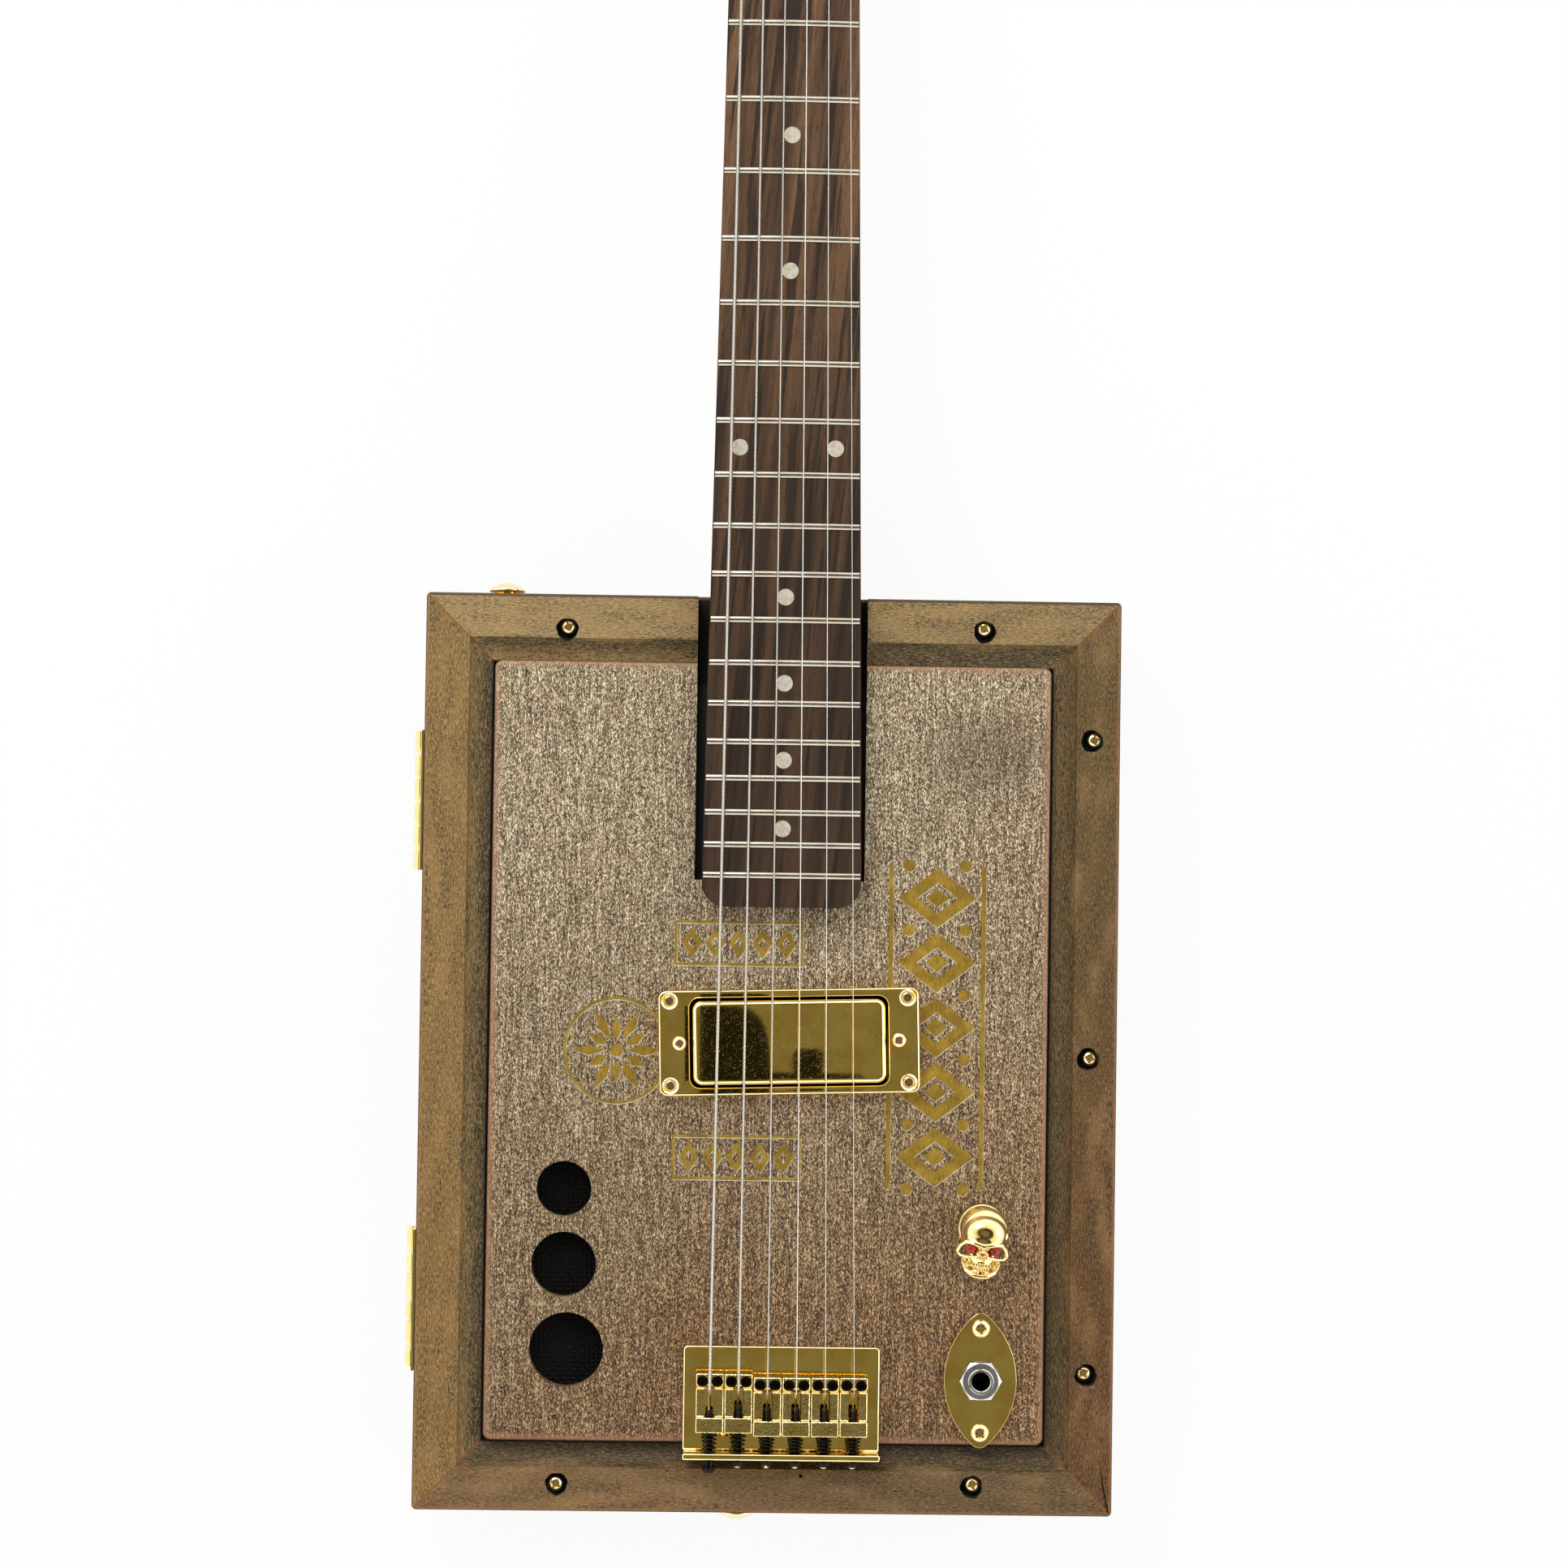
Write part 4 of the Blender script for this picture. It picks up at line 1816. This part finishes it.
@dataclass
class SkullKnob:
    """Round ribbed base with a plain skull on it, which looks up from the lid.

    Places are counted from the knob's axis on the panel; those of paired shapes are mirrored.
    """

    base_radius: float = 8.6
    base_top: float = 8.0
    base_steps: tuple[Pair, ...] = ((-0.3, 4.6), (-0.7, 5.0), (-0.9, 6.8), (-1.6, 8.0))
    skirt_radius: float = 9.0
    rib_count: int = 48
    rib_depth: float = 0.4
    skirt_top: float = 4.2
    skirt_gap: float = 0.01
    base_low: float = 1.2
    tilt: float = -6.0
    tilt_y: float = -5.0
    voxel: float = 0.22
    fine_voxel: float = 0.15
    head_balls: tuple[tuple[Triple, Triple, int], ...] = (
        ((8.7, 8.7, 5.4), (0.3, -0.9, 8.0), 40), ((7.5, 6.3, 4.9), (0.3, -1.3, 11.0), 36),
        ((6.6, 4.6, 3.9), (0.0, -3.9, 11.8), 32), ((5.4, 5.2, 4.6), (0, -9.2, 9.0), 32),
        ((4.0, 4.0, 3.8), (0, -12.0, 10.2), 32), ((4.8, 4.6, 4.0), (0, -12.4, 8.2), 32))
    nose_ridge: tuple[Triple, ...] = ((0, -5.6, 15.4), (0, -7.6, 15.0))
    nose_radius: float = 0.8
    ridges: tuple[tuple[float, tuple[Triple, ...]], ...] = (
        (0.85, ((0, -5.7, 15.4), (3.4, -4.9, 15.0), (6.4, -4.7, 13.6), (8.0, -6.2, 11.8), (8.9, -8.6, 10.2))),
        (0.6, ((8.9, -8.8, 10.2), (7.6, -9.9, 11.2), (4.6, -10.0, 13.0), (2.2, -9.2, 14.2), (1.2, -8.0, 14.9))),
        (1.0, ((5.9, -10.4, 7.4), (6.2, -12.4, 8.8), (5.0, -14.8, 10.8), (2.6, -16.2, 12.2), (0, -16.5, 12.6))))
    hollows: tuple[tuple[Triple, Triple, int, float], ...] = (
        ((3.4, 1.9, 2.4), (4.6, -7.4, 14.4), 28, 12), ((0.75, 1.3, 1.8), (0.72, -9.9, 14.6), 20, -16),
        ((1.5, 2.6, 3.0), (8.4, -1.8, 12.8), 24, 0), ((1.2, 2.2, 2.6), (4.9, -12.2, 12.6), 20, 0))
    mouth: tuple[Triple, Triple, int] = ((1.8, 0.4, 1.6), (0, -15.2, 13.4), 20)
    crack: tuple[Triple, ...] = (
        (1.6, 4.6, 13.2), (0.9, 3.0, 14.9), (0.2, 1.9, 15.6), (-0.7, 1.5, 15.9), (-0.9, 0.4, 16.2),
        (-2.4, -0.4, 16.1), (-2.9, -1.3, 16.0))
    crack_radius: float = 0.3
    tooth_rows: tuple[Pair, ...] = ((-12.35, 1.12), (-13.85, 0.98))
    tooth_count: int = 6
    tooth_share: float = 0.84
    tooth_length: float = 1.36
    tooth_low: float = -1.2
    tooth_high: float = 0.4
    tooth_edge: float = 0.3
    tooth_z: float = 13.9
    tooth_bow: float = 0.11
    gem_radius: float = 1.7
    gem_place: Triple = (4.4, -7.2, 13.0)
    gem_share: float = 0.8

    def __post_init__(self) -> None:
        """Reads the knob's axis from the frame."""
        box = Extent.of("skull_knob")
        self.centre = Vector((box.centre.x, box.high.y - self.base_radius, Extent.of("lid_panel").high.z))

    def build(self) -> None:
        """Builds base, skull, teeth and gems."""
        self.base()
        self.put(self.skull().added(self.teeth()), "skull", SKULL_GOLD, 60)
        self.put(self.gems(), "skull_gems", RED_GEM, 5)

    def put(self, form: Form, name: str, finish: Finish, crease: float) -> None:
        """Tilts a form with the head and puts it on the knob's axis."""
        form.spun(self.tilt, "Z", (0, self.tilt_y, 0)).moved(self.centre)
        form.place(name, finish, "volume_knob", ["skull_knob"], crease=crease)

    def base(self) -> None:
        """Turns the base and ribs its skirt."""
        steps = [(self.base_radius + inset, height) for inset, height in self.base_steps]
        low = self.base_low
        body = Form.turned([(0, low), (steps[0][0], low), *steps, (0, self.base_top)], 64)
        points = []
        for k in range(self.rib_count * 2):
            angle = FULL_TURN * k / (self.rib_count * 2)
            radius = self.skirt_radius - self.rib_depth * (k % 2)
            points.append((radius * math.cos(angle), radius * math.sin(angle)))
        body.added(Form.prism(points, low + self.skirt_gap, self.skirt_top)).moved(self.centre)
        body.place("knob_base", SKULL_GOLD, "volume_knob", ["skull_knob"], crease=30)

    def skull(self) -> Form:
        """Melts forehead, brow, cheeks and jaw onto the dome, then carves sockets, nose and temples."""
        head = Form().added(*[Form.ball(*ball) for ball in self.head_balls])
        head.added(Form.wire(self.nose_ridge, self.nose_radius, 3))
        for side in BOTH_SIDES:
            for radius, points in self.ridges:
                head.added(Form.wire([(side * x, y, z) for x, y, z in points], radius, 3))
        head.melted(self.voxel, 3).cut(self.carving())
        return head.melted(self.voxel, 1)

    def carving(self) -> Form:
        """Makes the hollows of the face."""
        hollows = Form()
        for side in BOTH_SIDES:
            for radii, (x, y, z), sides, turn in self.hollows:
                hollow = Form.ball(radii, (0, 0, 0), sides).spun(side * turn)
                hollows.added(hollow.moved((side * x, y, z)))
        hollows.added(Form.ball(*self.mouth), Form.wire(self.crack, self.crack_radius, 2))
        return hollows.melted(self.fine_voxel, 1)

    def teeth(self) -> Form:
        """Sets two rows of teeth."""
        teeth = Form()
        for y, pitch in self.tooth_rows:
            for k in range(self.tooth_count):
                x = (k - (self.tooth_count - 1) / 2) * pitch
                tooth = slab((pitch * self.tooth_share, self.tooth_length), self.tooth_low, self.tooth_high)
                teeth.added(tooth.rounded(self.tooth_edge).moved((x, y, self.tooth_z - self.tooth_bow * x * x)))
        return teeth

    def gems(self) -> Form:
        """Facets two gems."""
        gems = Form()
        x, y, z = self.gem_place
        for side in BOTH_SIDES:
            gem = Form()
            bmesh.ops.create_icosphere(gem.mesh, subdivisions=2, radius=self.gem_radius)
            gems.added(gem.mapped(Matrix.Diagonal((1, 1, self.gem_share, 1))).moved((side * x, y, z)))
        return gems


@dataclass
class Hinges:
    """Two butt hinges with screwed leaves."""

    screw: Screw = field(
        default_factory=lambda: Screw(radius=2.0, rise=0.5, rim=0.1, recess_depth=0.7, shank=1.0))
    screw_offsets: tuple[float, ...] = (-17.0, 0.0, 17.0)
    screw_turn: float = 30.0
    screw_drop: float = 1.0
    screw_height: float = 4.4
    edge: float = 0.25

    def build(self) -> None:
        """Finishes the leaves and sets their screws."""
        for place in ("upper", "lower"):
            for body in ("box", "lid"):
                name = f"hinge_{place}_{body}_leaf"
                box = Extent.of(name)
                Form.twin(name, GOLD, body, edge=self.edge)
                height = box.high.z - self.screw_height if body == "lid" else box.low.z + self.screw_height
                for k, offset in enumerate(self.screw_offsets):
                    head = self.screw.form(self.screw_turn * k).spun(-QUARTER_DEGREES, "Y")
                    head.moved((box.high.x - self.screw_drop, box.centre.y + offset, height))
                    head.place(f"hinge_screw_{place}_{body}_{k + 1}", SCREW_GOLD, body)


@dataclass
class StrapButtons:
    """Two domed strap buttons on the end walls."""

    radius: float = 6.6
    foot_radius: float = 5.2
    waist_radius: float = 3.6
    foot_heights: Pair = (0.8, 1.2)
    neck_drops: Pair = (2.4, 1.5)
    neck_flare: float = 1.2
    sunk: float = 0.8
    rim: float = 0.7
    dome: float = 2.0
    dome_inset: float = 0.4
    dome_share: float = 7.5
    screw: Screw = field(
        default_factory=lambda: Screw(radius=2.6, rise=0.7, rim=0.1, recess_depth=0.8, shank=1.5))
    screw_sunk: float = 0.5
    screw_turn: float = 15.0

    def build(self) -> None:
        """Turns both buttons; the upper one points to the headstock, the lower one to the tail."""
        for place, outward in (("upper", 1), ("lower", -1)):
            name = f"strap_button_{place}"
            box = Extent.of(name)
            height = box.size.y - self.sunk
            foot_y = box.low.y if outward > 0 else box.high.y
            button = Form.turned(self.profile(height), 48)
            button.added(self.screw.form(self.screw_turn).moved((0, 0, height - self.screw_sunk)))
            button.spun(-QUARTER_DEGREES * outward, "X").moved((box.centre.x, foot_y, box.centre.z))
            button.stand_in(name, GOLD, "box", crease=40)

    def profile(self, height: float) -> list[Pair]:
        """Radii and heights of a button from foot to dome."""
        edge = height - self.dome
        (foot, waist), (neck, lip) = self.foot_heights, self.neck_drops
        rise = self.dome * self.dome_share
        dome = arc((0, edge + self.dome - rise), 2 * (self.radius - self.dome_inset), 60, 90, 8, rise)
        return [
            (0, 0), (self.foot_radius, 0), (self.foot_radius, foot), (self.waist_radius, waist),
            (self.waist_radius, edge - neck), (self.waist_radius + self.neck_flare, edge - lip),
            *arc((self.radius - self.rim, edge - self.rim), self.rim, -80, 60, 8), *dome[1:]]


@dataclass
class Ornament:
    """Plain geometric foil work on the panel: lozenges, pellets and rules."""

    thickness: float = 0.07
    sunk: float = 0.02
    line_width: float = 1.0
    press: Pair = (0.1, -0.26)
    press_share: float = 0.4
    band_x: float = 59.5
    band_low: float = 115.0
    band_high: float = 230.0
    band_width: float = 33.0
    rule_width: float = 1.6
    rule_gap_share: float = 1.6
    lozenge_count: int = 5
    lozenge_shares: tuple[Pair, ...] = ((1.0, 0.46), (0.52, 0.24), (0.3, 0.14))
    pellet_radius: float = 2.1
    pellet_share: float = 0.72
    rosette_place: Pair = (-54.0, 163.0)
    rosette_radius: float = 19.0
    petal_count: int = 12
    petal_shares: Pair = (0.84, 0.62)
    petal_root_share: float = 0.2
    petal_belly_shares: Pair = (0.62, 0.1)
    bead_shares: Pair = (0.86, 0.035)
    heart_share: float = 0.12
    strip_places: tuple[Pair, ...] = ((-11.0, 201.5), (-11.0, 125.5))
    strip_size: Pair = (46.0, 16.0)
    strip_pitch: float = 8.4
    strip_lozenges: tuple[Pair, ...] = ((3.6, 5.4), (1.5, 2.2))

    def build(self) -> None:
        """Lays the foil, and under it the pale edge that its pressing left."""
        top = Extent.of("lid_panel").high.z
        for name, finish, place in (
                ("foil_ornament", FOIL, (0, 0, top)),
                ("foil_pressed_edge", PRESSED_EDGE, (*self.press, top - self.thickness * self.press_share))):
            foil = Form().added(self.band(), self.rosette(), *[self.strip(x, y) for x, y in self.strip_places])
            foil.moved(place).place(name, finish)

    def patch(self, points: Outline, hole: Outline | None = None) -> Form:
        """Cuts one flat patch of foil, with a hole where one is given."""
        patch = Form.prism(points, -self.sunk, self.thickness)
        return patch.cut(Form.prism(hole, -CUT_PAST, CUT_PAST)) if hole else patch

    def lozenge(self, x: float, y: float, half_width: float, half_height: float) -> list[Pair]:
        """Corners of a lozenge."""
        return [(x - half_width, y), (x, y - half_height), (x + half_width, y), (x, y + half_height)]

    def disc(self, x: float, y: float, radius: float) -> Form:
        """Cuts a round patch."""
        return self.patch(arc((x, y), radius, 0, 345, 23))

    def band(self) -> Form:
        """Stacks large lozenges between two rules."""
        band = Form()
        length = self.band_high - self.band_low
        middle = (self.band_high + self.band_low) / 2
        for side in BOTH_SIDES:
            band.added(self.patch(rectangle(
                self.band_x + side * self.band_width / 2, middle, self.rule_width, length)))
        pitch = length / self.lozenge_count
        half = self.band_width / 2 - self.rule_width * self.rule_gap_share
        for k in range(self.lozenge_count):
            y = self.band_low + pitch * (k + 0.5)
            outer, inner, heart = [
                self.lozenge(self.band_x, y, half * wide, pitch * high) for wide, high in self.lozenge_shares]
            band.added(self.patch(outer, inner), self.patch(heart))
        for k in range(self.lozenge_count + 1):
            for side in BOTH_SIDES:
                x = self.band_x + side * half * self.pellet_share
                band.added(self.disc(x, self.band_low + pitch * k, self.pellet_radius))
        return band

    def rosette(self) -> Form:
        """Rings thin petals round a disc."""
        x, y = self.rosette_place
        r = self.rosette_radius
        belly, half = self.petal_belly_shares
        orbit, bead = self.bead_shares
        rosette = self.patch(arc((x, y), r, 0, 355, 71), arc((x, y), r - self.line_width, 0, 355, 71))
        for k in range(self.petal_count):
            reach = r * self.petal_shares[k % 2]
            petal = self.patch([
                (r * self.petal_root_share, 0), (reach * belly, -r * half), (reach, 0),
                (reach * belly, r * half)])
            rosette.added(petal.spun(360 / self.petal_count * k).moved((x, y, 0)))
            angle = FULL_TURN * (k + 0.5) / self.petal_count
            rosette.added(self.disc(x + r * orbit * math.cos(angle), y + r * orbit * math.sin(angle), r * bead))
        return rosette.added(self.disc(x, y, r * self.heart_share))

    def strip(self, x: float, y: float) -> Form:
        """Frames a short row of lozenges."""
        inside = [length - self.line_width * 2 for length in self.strip_size]
        strip = self.patch(rectangle(x, y, *self.strip_size), rectangle(x, y, *inside))
        for k in range(-2, 3):
            strip.added(self.patch(*[
                self.lozenge(x + k * self.strip_pitch, y, *size) for size in self.strip_lozenges]))
        return strip


@dataclass
class PlainPieces:
    """Walls, tuners and other pieces that keep the shape of their solids, with softened edges."""

    wood_edge: float = 0.5
    metal_edge: float = 0.3
    small_edge: float = 0.2

    def build(self) -> None:
        """Softens a copy of each solid."""
        walls = [f"box_wall_{side.name.lower()}" for side in (Side.TOP, Side.BOTTOM, Side.LEFT, Side.RIGHT)]
        tuners = [f"{kind}_{i + 1}" for i in range(STRING_COUNT) for kind in ("tuner_post", "tuner_button")]
        pieces = [(name, BOX_WOOD, "box", self.wood_edge) for name in ("box_back", *walls)]
        pieces += [(f"tuner_plate_{side}", GOLD, "lid", self.metal_edge) for side in ("bass", "treble")]
        pieces += [(name, GOLD, name, self.metal_edge) for name in tuners]
        pieces += [
            ("volume_pot", NICKEL, "lid", self.small_edge),
            ("pickup_base", BLACK_PLASTIC, "pickup", self.small_edge)]
        for name, finish, body, edge in pieces:
            Form.twin(name, finish, body, edge=edge)


def main() -> None:
    """Builds the guitar's sub-assemblies in order, and the studio."""
    logging.basicConfig(level=logging.INFO, format="%(message)s")
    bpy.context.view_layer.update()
    parts = (
        LidFrame(), LidPanel(), Ornament(), Board(), NeckAndStrings(), Bridge(), Pickup(), Jack(), SkullKnob(),
        Hinges(), StrapButtons(), PlainPieces())
    for part in parts:
        part.build()
        LOG.info("%s is done", type(part).__name__)
    Studio().build()


if __name__ == "__main__":
    main()
